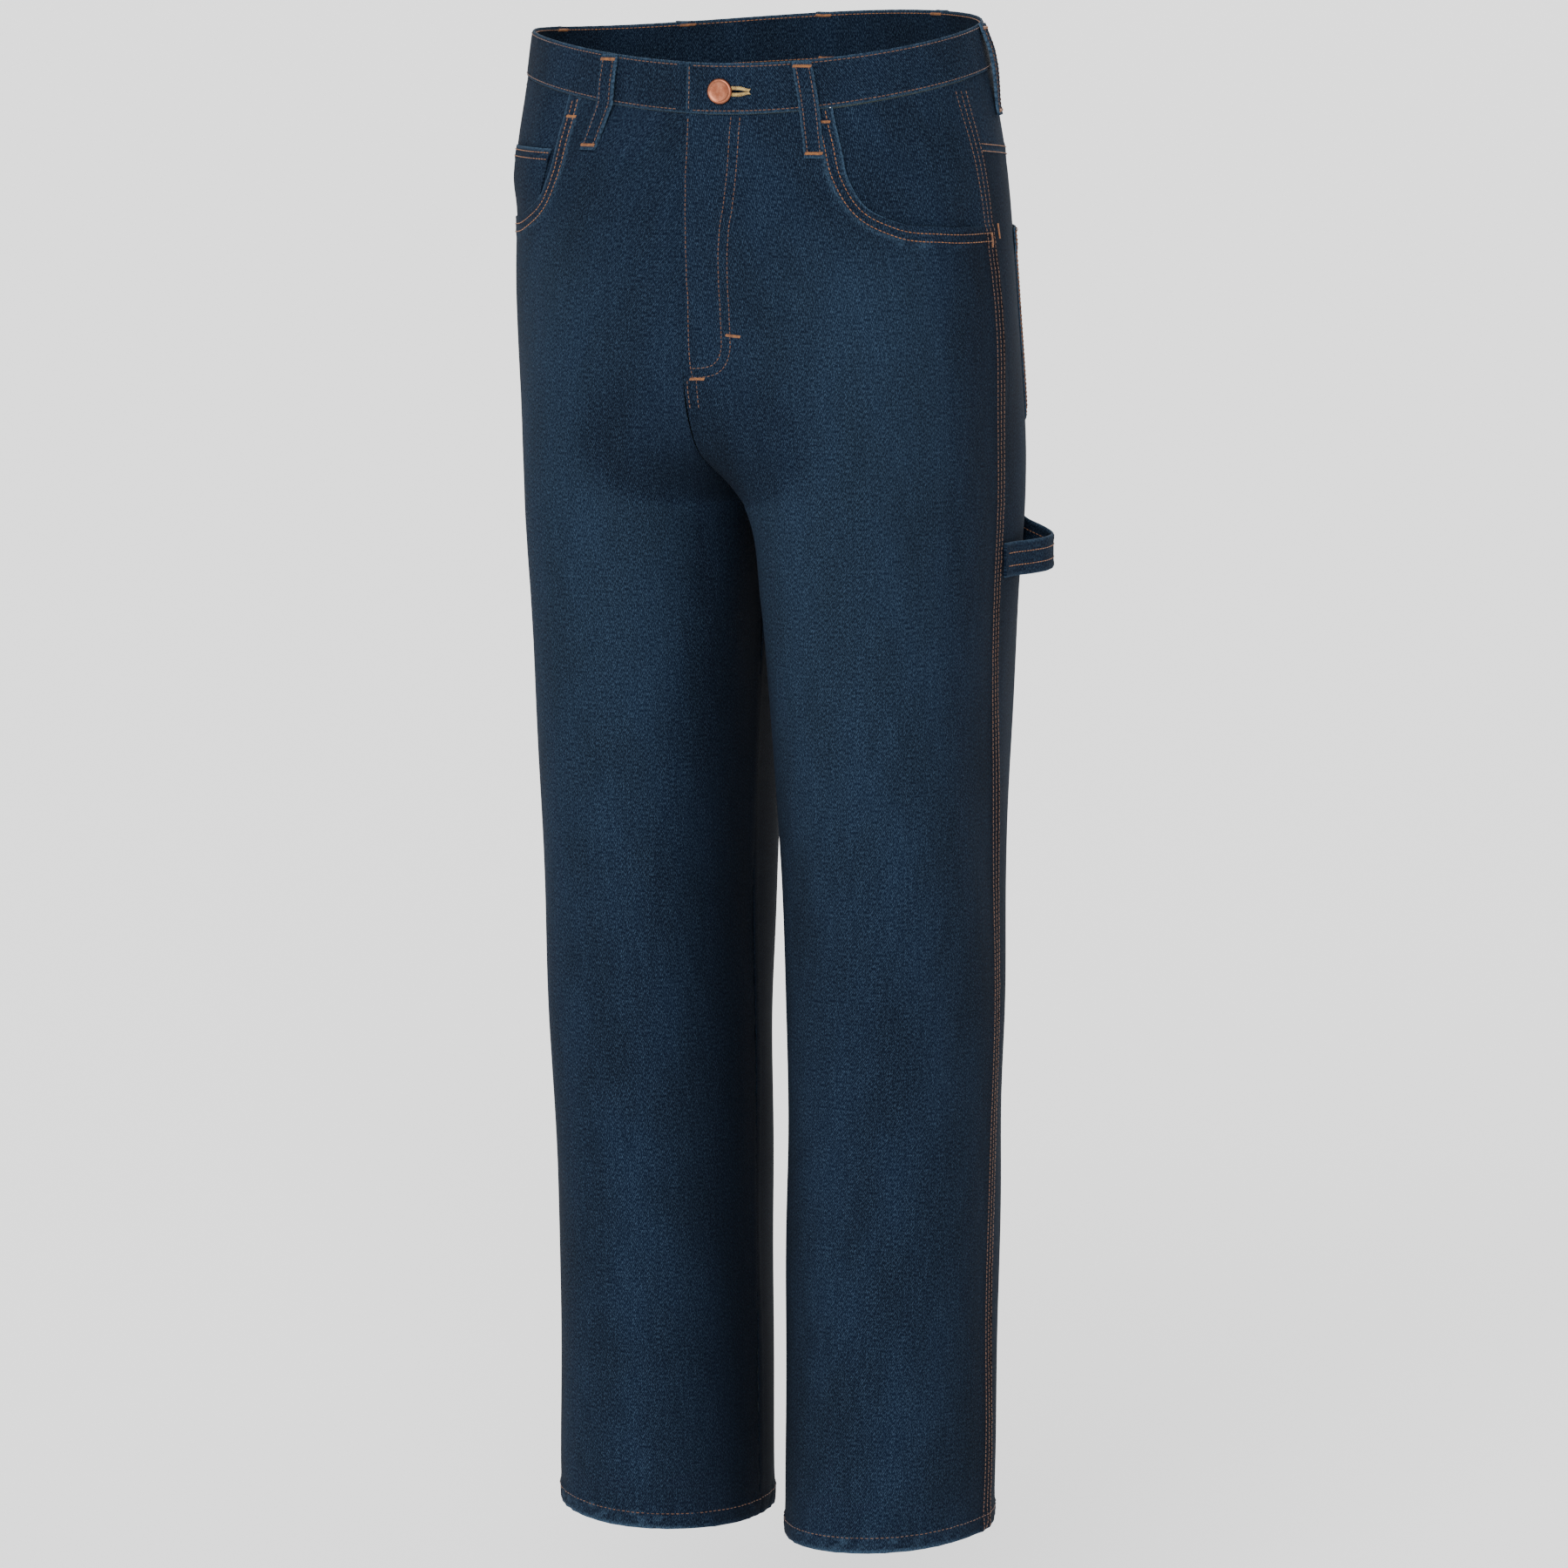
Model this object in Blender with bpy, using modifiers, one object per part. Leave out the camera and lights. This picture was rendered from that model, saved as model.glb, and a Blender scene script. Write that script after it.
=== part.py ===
"""Carpenter pants in indigo denim, filled out as worn, with nobody in them.

Metres. +X is the wearer's left, -Y the front and +Z up. The origin is the centre of the waist
opening, at the mean height of the middle of the waistband. Every cloth piece is cut from one
form: horizontal sections of the left leg, which the middle plane cuts off above the crotch. A
place on the cloth is a height, a share of the way from the side seam to the rise or the inseam,
and a distance outwards. The right leg is the left one mirrored.
"""

import math

import bmesh
import bpy
import numpy as np
from mathutils import Matrix, Vector

FRONT, BACK = 1, -1
LEFT, RIGHT = 1, -1

# Walls and gaps
CLOTH = 0.0016
SEAM = 0.0003
UNDER = 0.0026  # how far below the cloth's face the piece behind it starts

# Waistband
HALF_WIDTH = 0.162
HALF_DEPTH = 0.117
BAND_HEIGHT = 0.0345
BAND_SIDE_LOSS = 0.003
BAND_WALL = 0.0022
BAND_PROUD = 0.0008
BAND_GAP = 0.0004
BAND_FRONT_COLUMNS = 13
BAND_BACK_COLUMNS = 16
BAND_ROWS = 4
UNDERLAP = 0.052
UNDER_LOW = 0.001
END_LIFT = 0.0014
END_SINK = 0.0016
LIFT_END = (0.052, 0.080)
# Height of the rim round the waist, as waves: turns, cosine, sine
RIM_WAVES = (
    (0, 0.0163, 0.0000),
    (1, 0.0021, 0.0116),
    (2, 0.0031, 0.0041),
    (3, 0.0000, -0.0015),
)

# Sections of the left leg. A square is the power of a superellipse, and angles are in degrees. Columns:
# height, inner, outer, front, back, widest, square_in, square_out, turn, side_seam
SECTIONS = (
    (0.030, -0.1580, 0.1580, -0.1170, 0.1170, 0.0000, 2.05, 2.05, 0.0, 13.0),
    (-0.020, -0.1650, 0.1665, -0.1152, 0.1270, 0.0050, 2.10, 2.10, 0.0, 11.0),
    (-0.070, -0.1500, 0.1738, -0.1148, 0.1416, 0.0130, 2.20, 2.15, 0.0, 6.0),
    (-0.130, -0.1200, 0.1744, -0.1142, 0.1580, 0.0220, 2.50, 2.20, 0.0, 2.0),
    (-0.190, -0.0800, 0.1738, -0.1106, 0.1692, 0.0310, 2.80, 2.20, 0.0, 0.0),
    (-0.250, -0.0360, 0.1722, -0.1038, 0.1732, 0.0380, 2.90, 2.20, 0.0, 0.0),
    (-0.305, 0.00015, 0.1699, -0.0945, 0.1717, 0.0437, 2.60, 2.20, 0.0, 0.0),
    (-0.370, 0.0081, 0.1678, -0.0862, 0.1645, 0.0445, 2.40, 2.20, 0.5, 0.0),
    (-0.460, 0.0138, 0.1660, -0.0758, 0.1549, 0.0442, 2.30, 2.20, 2.0, 0.0),
    (-0.560, 0.0165, 0.1648, -0.0650, 0.1460, 0.0445, 2.20, 2.15, 3.5, -3.0),
    (-0.680, 0.0170, 0.1634, -0.0530, 0.1392, 0.0465, 2.10, 2.10, 4.0, -3.0),
    (-0.820, 0.0156, 0.1626, -0.0440, 0.1345, 0.0475, 2.05, 2.05, 4.0, 0.0),
    (-0.950, 0.0137, 0.1622, -0.0412, 0.1302, 0.0460, 2.00, 2.00, 4.0, 0.0),
    (-1.060, 0.0122, 0.1602, -0.0405, 0.1285, 0.0445, 2.00, 2.00, 4.0, 0.0),
)
LINE_SAMPLES = 160
NORMAL_RISE = 0.001
NORMAL_TURN = 0.02
# The waist sits a little towards the wearer's left
WAIST_SHIFT = 0.0035
WAIST_SHIFT_END = -0.090

# Hem
HEM_HEIGHT = -1.0445
HEM_TILT = 0.0033
HEM_DEPTH = 0.0125
HEM_WALL = 0.0030
HEM_FOLD = 0.0015

# Rows of the panels below the pocket mouth or the yoke: height at the side seam, and at the rise or inseam
UPPER_ROWS = (
    (-0.145, -0.1575),
    (-0.175, -0.190),
    (-0.193, -0.206),
    (-0.220, -0.235),
    (-0.246, -0.260),
    (-0.267, -0.279),
    (-0.283, -0.292),
    (-0.296, -0.300),
    (-0.307, -0.305),
    (-0.320, -0.314),
    (-0.345, -0.338),
    (-0.380, -0.376),
)
# Between these heights only the columns past HOOK_START run out into the crotch
HOOK_HEIGHTS = (-0.420, -0.250)
HOOK_START = 0.78
LEG_ROW_TOP = -0.425
LEG_ROWS = 10
SEAT_ROWS = 4
FRONT_COLUMNS = (8, 3)
BACK_COLUMNS = (10, 4)
YOKE_ROWS = 5

# Fly, from the waist seam down: the left front laps over the right one
FLY_LIFT = 0.0012
FLY_SINK = 0.0011
FLY_LAP = 0.012
FLY_FLAT = 0.014
FLY_RAMP = 0.030
FLY_UNDER_FLAT = 0.003
FLY_UNDER_RAMP = 0.018
FLY_LAP_END = (-0.190, -0.206)
FLY_LIFT_END = (-0.206, -0.235)

# Mouth of the scooped front pocket, from where it leaves the waist seam to the side seam: distance
# from the side seam, and depth below the waist seam
SCOOP = (
    (0.1065, 0.0150),
    (0.1120, 0.0400),
    (0.1160, 0.0630),
    (0.1105, 0.0820),
    (0.0930, 0.0925),
    (0.0580, 0.0975),
    (0.0000, 0.0995),
)
SCOOP_ROWS = 14
SCOOP_MIDDLE_END = -0.130
MOUTH_SAMPLES = 60
FACING_MARGIN = 0.012
FACING_RISE = 0.030
FACING_WALL = 0.0013
FACING_COLUMNS = 13
FACING_ROWS = 11
WATCH_TOP = 0.0475
WATCH_FROM_SIDE = (0.045, 0.1085)
WATCH_MARGIN = 0.0026
WATCH_WALL = 0.0012
WATCH_COLUMNS = 8

# Yoke
YOKE_SIDE = -0.0620
YOKE_MIDDLE = -0.0850

# Belt loops: face, side, and distances from the rise seam at the rim, at the waist seam and at the foot
LOOP_WIDTH = 0.0135
LOOP_WALL = 0.0018
LOOP_BELOW_SEAM = 0.032
LOOP_TOP_GAP = 0.0005
LOOP_ROWS = 11
LOOPS = {
    "belt_loop_1": (FRONT, LEFT, 0.0790, 0.0855, 0.0908),
    "belt_loop_2": (BACK, LEFT, 0.2050, 0.2070, 0.2090),
    "belt_loop_3": (BACK, LEFT, 0.1010, 0.1010, 0.1015),
    "belt_loop_4": (BACK, LEFT, 0.0000, 0.0000, 0.0000),
    "belt_loop_5": (BACK, RIGHT, 0.1010, 0.1010, 0.1015),
    "belt_loop_6": (BACK, RIGHT, 0.2050, 0.2060, 0.2080),
    "belt_loop_7": (FRONT, RIGHT, 0.0596, 0.0614, 0.0766),
}
# Share of a loop's height, and how far its inner face stands from the cloth there
LOOP_STAND = (
    (0.00, 0.0004),
    (0.12, 0.0004),
    (0.30, 0.0020),
    (0.50, 0.0036),
    (0.72, 0.0040),
    (0.90, 0.0022),
    (1.00, 0.0014),
)

# Patch pockets. Back: top, bottom, tip, near and far edge from the rise seam, and taper of each edge.
# Tool: top, bottom, near and far edge from the side seam
PATCH_WALL = 0.0014
PATCH_GAP = 0.0006
PATCH_COLUMNS = 13
PATCH_ROWS = 9
TOOL_COLUMNS = 8
BACK_POCKET = (-0.1180, -0.2520, -0.2720, 0.0520, 0.2060, 0.0090)
TOOL_POCKET = (-0.4000, -0.5900, 0.0060, 0.0800)

# Hammer loop: a strap from the left side seam round to the back panel. Its path: distance behind the
# seam, distance off the cloth, height
STRAP_HEIGHT = 0.024
STRAP_WALL = 0.0020
STRAP_PATH = (
    (0.0030, 0.0018, -0.3470),
    (0.0130, 0.0032, -0.3470),
    (0.0350, 0.0120, -0.3470),
    (0.0540, 0.0195, -0.3465),
    (0.0670, 0.0215, -0.3455),
    (0.0780, 0.0160, -0.3430),
    (0.0900, 0.0050, -0.3390),
    (0.1020, 0.0018, -0.3360),
)
STRAP_STEPS = 20

# Button and its slot in the lapped end of the band
BUTTON_X = 0.0245
BUTTON_Z = -0.0192
BUTTON_STEPS = 24
SLOT_LENGTH = 0.0200
SLOT_HEIGHT = 0.0044
SLOT_SHIFT = 0.0072
SLOT_BOTTOM = -0.0005
SLOT_TOP = 0.0045
# The button's half outline: radius, height over the band
BUTTON_PROFILE = (
    (0.0000, 0.0029),
    (0.0056, 0.0027),
    (0.0064, 0.0031),
    (0.0078, 0.0029),
    (0.0085, 0.0020),
    (0.0085, 0.0012),
    (0.0076, 0.0007),
    (0.0017, 0.0005),
    (0.0017, -0.0023),
    (0.0000, -0.0023),
)

# Broad soft folds: face, side, share of the width from the side seam, height, length, width, lean in
# degrees, and depth, below zero for a trough
FOLDS = (
    (FRONT, LEFT, 0.72, -0.335, 0.090, 0.030, 28.0, -0.0016),
    (FRONT, RIGHT, 0.70, -0.350, 0.100, 0.030, 26.0, -0.0016),
    (FRONT, LEFT, 0.62, -0.600, 0.120, 0.034, 12.0, -0.0014),
    (FRONT, RIGHT, 0.55, -0.640, 0.130, 0.034, 10.0, -0.0014),
    (BACK, LEFT, 0.60, -0.330, 0.110, 0.034, 30.0, -0.0020),
    (BACK, RIGHT, 0.58, -0.345, 0.100, 0.034, 32.0, -0.0020),
    (BACK, LEFT, 0.45, -0.590, 0.070, 0.036, 68.0, -0.0020),
    (BACK, RIGHT, 0.50, -0.610, 0.070, 0.036, 64.0, -0.0020),
)

DENIM = (0.020, 0.045, 0.095, 1.0)
COPPER = (0.420, 0.170, 0.110, 1.0)


def smooth(low, high, value):
    """Zero up to low, one from high, and an S between them."""
    share = np.clip((np.asarray(value, float) - low) / (high - low), 0.0, 1.0)
    return share * share * (3 - 2 * share)


def section_at(height):
    """The section's values at a height, on smooth curves down the table."""
    table = np.array(SECTIONS)
    depth, rows = -table[:, 0], table[:, 1:]
    wanted = -np.asarray(height, float)
    row = np.clip(np.searchsorted(depth, wanted) - 1, 0, len(depth) - 2)
    step = np.diff(depth)
    slope = np.diff(rows, axis=0) / step[:, None]
    lean = np.empty_like(rows)
    lean[0], lean[-1] = slope[0], slope[-1]
    both = (step[:-1] + step[1:])[:, None]
    lean[1:-1] = (slope[:-1] * step[1:, None] + slope[1:] * step[:-1, None]) / both
    s = np.clip((wanted - depth[row]) / step[row], 0, 1)[..., None]
    d = step[row][..., None]
    return (
        (2 * s**3 - 3 * s**2 + 1) * rows[row]
        + (s**3 - 2 * s**2 + s) * d * lean[row]
        + (3 * s**2 - 2 * s**3) * rows[row + 1]
        + (s**3 - s**2) * d * lean[row + 1]
    )


def ring(values, angle):
    """Plan position on a section: angle 0 is the outer side, a quarter turn the front."""
    inner, outer, front, back, widest, square_in, square_out, turn, _ = np.moveaxis(values, -1, 0)
    cosine, sine = np.cos(angle), np.sin(angle)
    power = 2 / np.where(cosine < 0, square_in, square_out)
    middle, half = (inner + outer) / 2, (outer - inner) / 2
    reach = np.where(sine < 0, back - widest, widest - front)
    across = half * np.sign(cosine) * np.abs(cosine) ** power
    centre = (front + back) / 2
    along = widest - centre - reach * np.sign(sine) * np.abs(sine) ** power
    toe_out = np.radians(turn)
    x = middle + across * np.cos(toe_out) - along * np.sin(toe_out)
    y = centre + across * np.sin(toe_out) + along * np.cos(toe_out)
    return x, y


def rise_angle(values):
    """Where the section meets the middle plane, or half a turn below the crotch."""
    inner, outer, square_in = values[..., 0], values[..., 1], values[..., 5]
    share = ((inner + outer) / 2 - SEAM / 2) / ((outer - inner) / 2)
    return np.pi - np.arccos(np.clip(share, 0, 1) ** (square_in / 2))


def cloth_line(height, face):
    """Close points along a panel at each height, the distance run from the side seam, and angles."""
    values = section_at(height)
    start = np.radians(values[..., 8])
    end = rise_angle(values) * face
    shares = np.linspace(0, 1, LINE_SAMPLES + 1)
    angle = start[..., None] + (end - start)[..., None] * shares
    x, y = ring(values[..., None, :], angle)
    x = np.maximum(x, SEAM / 2)
    steps = np.hypot(np.diff(x), np.diff(y))
    run = np.concatenate([np.zeros(x.shape[:-1] + (1,)), np.cumsum(steps, axis=-1)], axis=-1)
    return x, y, run, angle


def panel_width(height, face):
    return cloth_line(np.asarray(height, float), face)[2][..., -1]


def locate(height, share, face):
    """Points of the left leg's form, and their angles on its sections."""
    height, share = np.broadcast_arrays(np.asarray(height, float), np.asarray(share, float))
    x, y, run, angle = cloth_line(height, face)
    reach = SEAM / 2 + share * (run[..., -1] - SEAM)
    low = np.clip((run <= reach[..., None]).sum(-1) - 1, 0, LINE_SAMPLES - 1)[..., None]

    def ends(values):
        return np.take_along_axis(values, low, -1)[..., 0], np.take_along_axis(values, low + 1, -1)[..., 0]

    run_a, run_b = ends(run)
    s = (reach - run_a) / np.maximum(run_b - run_a, 1e-12)
    x, y, angle = (a + (b - a) * s for a, b in map(ends, (x, y, angle)))
    return np.stack([x, y, height], -1), angle


def on_cloth(height, share, face):
    return locate(height, share, face)[0]


def form(height, angle):
    x, y = ring(section_at(height), angle)
    return np.stack([x, y, height], -1)


def fold_depth(height, share, face, side):
    """How far the broad folds move the cloth."""
    total = np.zeros(np.broadcast(height, share).shape)
    for fold_face, fold_side, at_share, at_height, length, width, lean, depth in FOLDS:
        if (fold_face, fold_side) != (face, side):
            continue
        across = (share - at_share) * panel_width(at_height, face)
        up = height - at_height
        turn = math.radians(lean)
        along = up * math.cos(turn) + across * math.sin(turn)
        aside = across * math.cos(turn) - up * math.sin(turn)
        total = total + depth * np.exp(-((along / length) ** 2) - (aside / width) ** 2)
    return total


def even_share(spread, height, face):
    """Share of the width for a column, so that only the inner columns run out into the crotch."""
    low, high = HOOK_HEIGHTS
    width = panel_width(height, face)
    ends = panel_width(np.array([low, high]), face)
    plain = ends[0] + (ends[1] - ends[0]) * (height - low) / (high - low)
    plain = np.where((height > low) & (height < high), plain, width)
    inner = np.clip((spread - HOOK_START) / (1 - HOOK_START), 0, 1)
    return (spread * plain + (width - plain) * inner) / width


def column_spread(counts):
    """Even columns out to HOOK_START, then closer ones."""
    outer, inner = counts
    return np.concatenate([np.linspace(0, HOOK_START, outer), np.linspace(HOOK_START, 1, inner + 1)[1:]])


def place(height, share, face, side, out):
    """Points of the cloth moved outwards along its normal."""
    height, share = np.broadcast_arrays(np.asarray(height, float), np.asarray(share, float))
    point, angle = locate(height, share, face)
    up = form(height + NORMAL_RISE, angle) - form(height - NORMAL_RISE, angle)
    across = form(height, angle + NORMAL_TURN) - form(height, angle - NORMAL_TURN)
    normal = np.cross(up, across)
    normal /= np.linalg.norm(normal, axis=-1, keepdims=True)
    out = np.asarray(out) + fold_depth(height, share, face, side)
    point = point + normal * np.broadcast_to(out, height.shape)[..., None]
    point = point * np.array([side, 1.0, 1.0])
    point[..., 0] += WAIST_SHIFT * smooth(WAIST_SHIFT_END, 0.0, height)
    return point


def rim_height(x, y):
    """Height of the waistband's top edge at a plan position."""
    angle = np.arctan2(y / HALF_DEPTH, x / HALF_WIDTH)
    return sum(c * np.cos(n * angle) + s * np.sin(n * angle) for n, c, s in RIM_WAVES)


def seam_height(x, y):
    """Height of the seam between the waistband and the panels."""
    angle = np.arctan2(y / HALF_DEPTH, x / HALF_WIDTH)
    return rim_height(x, y) - BAND_HEIGHT + BAND_SIDE_LOSS * np.cos(angle) ** 2


def height_on(edge, share, face, side):
    """Height of a waist edge where a share of the panel's width meets it."""
    height = np.full(np.shape(share), -0.02)
    for _ in range(4):
        point = on_cloth(height, share, face)
        height = edge(side * point[..., 0], point[..., 1])
    return height


def hem_height(share, face):
    """Height of the hem, which lies higher on the outer side."""
    point = on_cloth(np.full(np.shape(share), HEM_HEIGHT), share, face)
    values = section_at(HEM_HEIGHT)
    middle, half = (values[0] + values[1]) / 2, (values[1] - values[0]) / 2
    return HEM_HEIGHT + HEM_TILT * (point[..., 0] - middle) / half


def share_from_rise(height, distance, face):
    return 1 - distance / panel_width(height, face)


def share_from_side(height, distance, face):
    return distance / panel_width(height, face)


def material_for(name, colour, roughness, metallic=0.0):
    material = bpy.data.materials.new(name)
    material.use_nodes = True
    shader = material.node_tree.nodes["Principled BSDF"]
    shader.inputs["Base Color"].default_value = colour
    shader.inputs["Roughness"].default_value = roughness
    shader.inputs["Metallic"].default_value = metallic
    material.diffuse_color = colour
    return material


def add_object(name, bm, collection, colour=DENIM, roughness=0.9, metallic=0.0):
    mesh = bpy.data.meshes.new(name)
    bm.to_mesh(mesh)
    bm.free()
    mesh.shade_smooth()
    mesh.set_sharp_from_angle(angle=math.radians(35))
    mesh.materials.append(material_for(name, colour, roughness, metallic))
    obj = bpy.data.objects.new(name, mesh)
    collection.objects.link(obj)
    return obj


def wall(name, outer, inner, collection, **look):
    """A closed sheet between two grids of points."""
    rows, columns = outer.shape[:2]
    bm = bmesh.new()
    faces = [[[bm.verts.new(point) for point in row] for row in grid] for grid in (outer, inner)]
    top, under = faces
    for i in range(rows - 1):
        for j in range(columns - 1):
            for grid in faces:
                bm.faces.new((grid[i][j], grid[i][j + 1], grid[i + 1][j + 1], grid[i + 1][j]))
    border = [(0, j) for j in range(columns)]
    border += [(i, columns - 1) for i in range(1, rows)]
    border += [(rows - 1, j) for j in range(columns - 2, -1, -1)]
    border += [(i, 0) for i in range(rows - 2, 0, -1)]
    for (i, j), (k, m) in zip(border, border[1:] + border[:1]):
        bm.faces.new((top[i][j], top[k][m], under[k][m], under[i][j]))
    bmesh.ops.recalc_face_normals(bm, faces=bm.faces)
    return add_object(name, bm, collection, **look)


def sheet(name, height, share, face, side, out, thickness, collection, **look):
    """A piece of cloth on the form: out is where its outer face lies."""
    outer = place(height, share, face, side, out)
    inner = place(height, share, face, side, np.asarray(out) - thickness)
    return wall(name, outer, inner, collection, **look)


def leg_rows(face, shares):
    """Heights of the rows that the front and the back share, and the wall's thickness on each."""
    rows = [side + (inner - side) * shares for side, inner in UPPER_ROWS]
    fold_top = HEM_HEIGHT + HEM_DEPTH + HEM_FOLD
    rows += [np.full(len(shares), height) for height in np.linspace(LEG_ROW_TOP, fold_top, LEG_ROWS, endpoint=False)]
    tilt = hem_height(shares, face) - HEM_HEIGHT
    rows += [fold_top + tilt, HEM_HEIGHT + HEM_DEPTH + tilt, HEM_HEIGHT + tilt]
    walls = [CLOTH] * (len(rows) - 2) + [HEM_WALL, HEM_WALL]
    return np.array(rows), np.array(walls)


def scoop_curve(count, side):
    """Evenly spaced points of the pocket mouth: distance from the side seam, and height."""
    table = np.array(SCOOP)
    spread = np.concatenate([[0], np.cumsum(np.hypot(*np.diff(table, axis=0).T))])
    even = np.linspace(0, spread[-1], count)
    slope = np.gradient(table, spread, axis=0)
    row = np.clip(np.searchsorted(spread, even, side="right") - 1, 0, len(spread) - 2)
    d = (spread[row + 1] - spread[row])[:, None]
    s = (even - spread[row])[:, None] / d
    points = (
        (2 * s**3 - 3 * s**2 + 1) * table[row]
        + (s**3 - 2 * s**2 + s) * d * slope[row]
        + (3 * s**2 - 2 * s**3) * table[row + 1]
        + (s**3 - s**2) * d * slope[row + 1]
    )
    waist = float(height_on(seam_height, np.array([0.0]), FRONT, side)[0])
    return points[:, 0], waist - points[:, 1]


def fly_amount(height, limits):
    """One beside the fly, falling to zero between the two heights."""
    return smooth(limits[1], limits[0], height)


def front_panel(side, collection):
    distance, mouth = scoop_curve(SCOOP_ROWS, side)
    spread = column_spread(FRONT_COLUMNS)
    middle_top = float(height_on(seam_height, np.array([1.0]), FRONT, side)[0])
    middle = np.linspace(middle_top, SCOOP_MIDDLE_END, SCOOP_ROWS)
    leg_height, leg_walls = leg_rows(FRONT, spread)
    height = np.concatenate([mouth[:, None] + (middle - mouth)[:, None] * spread, leg_height])
    start = np.concatenate([share_from_side(mouth, distance, FRONT), np.zeros(len(leg_height))])
    edge = height[:, -1]
    flat, ramp = (FLY_FLAT, FLY_RAMP) if side == LEFT else (FLY_UNDER_FLAT, FLY_UNDER_RAMP)
    share = start[:, None] + (share_from_rise(edge, ramp, FRONT) - start)[:, None] * spread
    share[SCOOP_ROWS:] = even_share(share[SCOOP_ROWS:], leg_height, FRONT)
    lap = 0.0 if side == LEFT else FLY_LAP * fly_amount(edge, FLY_LAP_END)
    share = np.column_stack(
        [share, share_from_rise(edge, flat, FRONT), share_from_rise(edge, -lap, FRONT)]
    )
    height = np.column_stack([height, edge, edge])
    # The top row follows the waist seam, and the rows below it take up the difference
    fade = np.linspace(1, 0, SCOOP_ROWS)[:, None] ** 2
    top = height_on(seam_height, share[0], FRONT, side) - BAND_GAP / 2
    height[:SCOOP_ROWS] += fade * (top - height[0])
    out = np.zeros(share.shape)
    step = FLY_LIFT if side == LEFT else -FLY_SINK
    out[:, -2:] = (step * fly_amount(edge, FLY_LIFT_END))[:, None]
    walls = np.concatenate([np.full(SCOOP_ROWS, CLOTH), leg_walls])[:, None]
    name = "front_panel_left" if side == LEFT else "front_panel_right"
    return sheet(name, height, share, FRONT, side, out, walls, collection)


def yoke_line(share):
    return YOKE_SIDE + (YOKE_MIDDLE - YOKE_SIDE) * share


def yoke(side, collection):
    share = column_spread(BACK_COLUMNS)
    top = height_on(seam_height, share, BACK, side) - BAND_GAP / 2
    down = np.linspace(0, 1, YOKE_ROWS)[:, None]
    height = top + (yoke_line(share) + SEAM / 2 - top) * down
    name = "yoke_left" if side == LEFT else "yoke_right"
    return sheet(name, height, share, BACK, side, 0.0, CLOTH, collection)


def back_panel(side, collection):
    share = column_spread(BACK_COLUMNS)
    leg_height, leg_walls = leg_rows(BACK, share)
    top = yoke_line(share) - SEAM / 2
    down = np.linspace(0, 1, SEAT_ROWS, endpoint=False)[:, None]
    height = np.concatenate([top + (leg_height[0] - top) * down, leg_height])
    walls = np.concatenate([np.full(SEAT_ROWS, CLOTH), leg_walls])[:, None]
    share = even_share(np.broadcast_to(share, height.shape), height, BACK)
    name = "back_panel_left" if side == LEFT else "back_panel_right"
    return sheet(name, height, share, BACK, side, 0.0, walls, collection)


def inside_mouth(distance, height, side):
    """How far inside the pocket mouth a place lies, or zero behind the front panel."""
    at, mouth = scoop_curve(MOUTH_SAMPLES, side)
    turn = int(np.argmax(at))
    above_edge = height > np.interp(distance, at[turn:][::-1], mouth[turn:][::-1])
    outside_edge = distance < np.interp(height, mouth[: turn + 1][::-1], at[: turn + 1][::-1])
    gap = np.hypot(distance[..., None] - at, height[..., None] - mouth).min(-1)
    return np.where(above_edge & outside_edge, gap, 0.0)


def facing_depth(distance, height, side):
    """Where the facing's outer face lies: behind the front panel, and level with the side seam."""
    return -UNDER * (1 - smooth(FACING_MARGIN / 3, FACING_RISE, inside_mouth(distance, height, side)))


def pocket_facing(side, collection):
    distance = np.linspace(0, max(row[0] for row in SCOOP) + FACING_MARGIN, FACING_COLUMNS)
    waist = float(height_on(seam_height, np.array([0.0]), FRONT, side)[0])
    bottom = waist - SCOOP[-1][1] - FACING_MARGIN
    top = height_on(seam_height, share_from_side(waist, distance, FRONT), FRONT, side) - BAND_GAP
    height = top + (bottom - top) * np.linspace(0, 1, FACING_ROWS)[:, None]
    distance = np.broadcast_to(distance, height.shape)
    share = share_from_side(height, distance, FRONT)
    out = facing_depth(distance, height, side)
    name = "pocket_facing_left" if side == LEFT else "pocket_facing_right"
    return sheet(name, height, share, FRONT, side, out, FACING_WALL, collection)


def watch_pocket(collection):
    """The small pocket on the right facing, tucked behind the mouth's edge."""
    distance = np.linspace(*WATCH_FROM_SIDE, WATCH_COLUMNS)
    waist = float(height_on(seam_height, np.array([0.0]), FRONT, RIGHT)[0])
    at, mouth = scoop_curve(MOUTH_SAMPLES, RIGHT)
    turn = int(np.argmax(at))
    top = waist - WATCH_TOP
    bottom = np.interp(distance, at[turn:][::-1], mouth[turn:][::-1]) + WATCH_MARGIN
    height = top + (bottom - top) * np.linspace(0, 1, WATCH_COLUMNS)[:, None]
    distance = np.broadcast_to(distance, height.shape)
    share = share_from_side(height, distance, FRONT)
    out = facing_depth(distance, height, RIGHT) + PATCH_GAP + WATCH_WALL
    return sheet("watch_pocket", height, share, FRONT, RIGHT, out, WATCH_WALL, collection)


def back_pocket(side, collection):
    top, bottom, tip, near, far, taper = BACK_POCKET
    across = np.linspace(0, 1, PATCH_COLUMNS)
    pointed = bottom + (tip - bottom) * (1 - np.abs(2 * across - 1))
    down = np.linspace(0, 1, PATCH_ROWS)[:, None]
    height = top + (pointed - top) * down
    distance = (near + taper * down) + (far - near - 2 * taper * down) * across
    share = share_from_rise(height, distance, BACK)
    name = "back_pocket_left" if side == LEFT else "back_pocket_right"
    return sheet(name, height, share, BACK, side, PATCH_GAP + PATCH_WALL, PATCH_WALL, collection)


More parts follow.
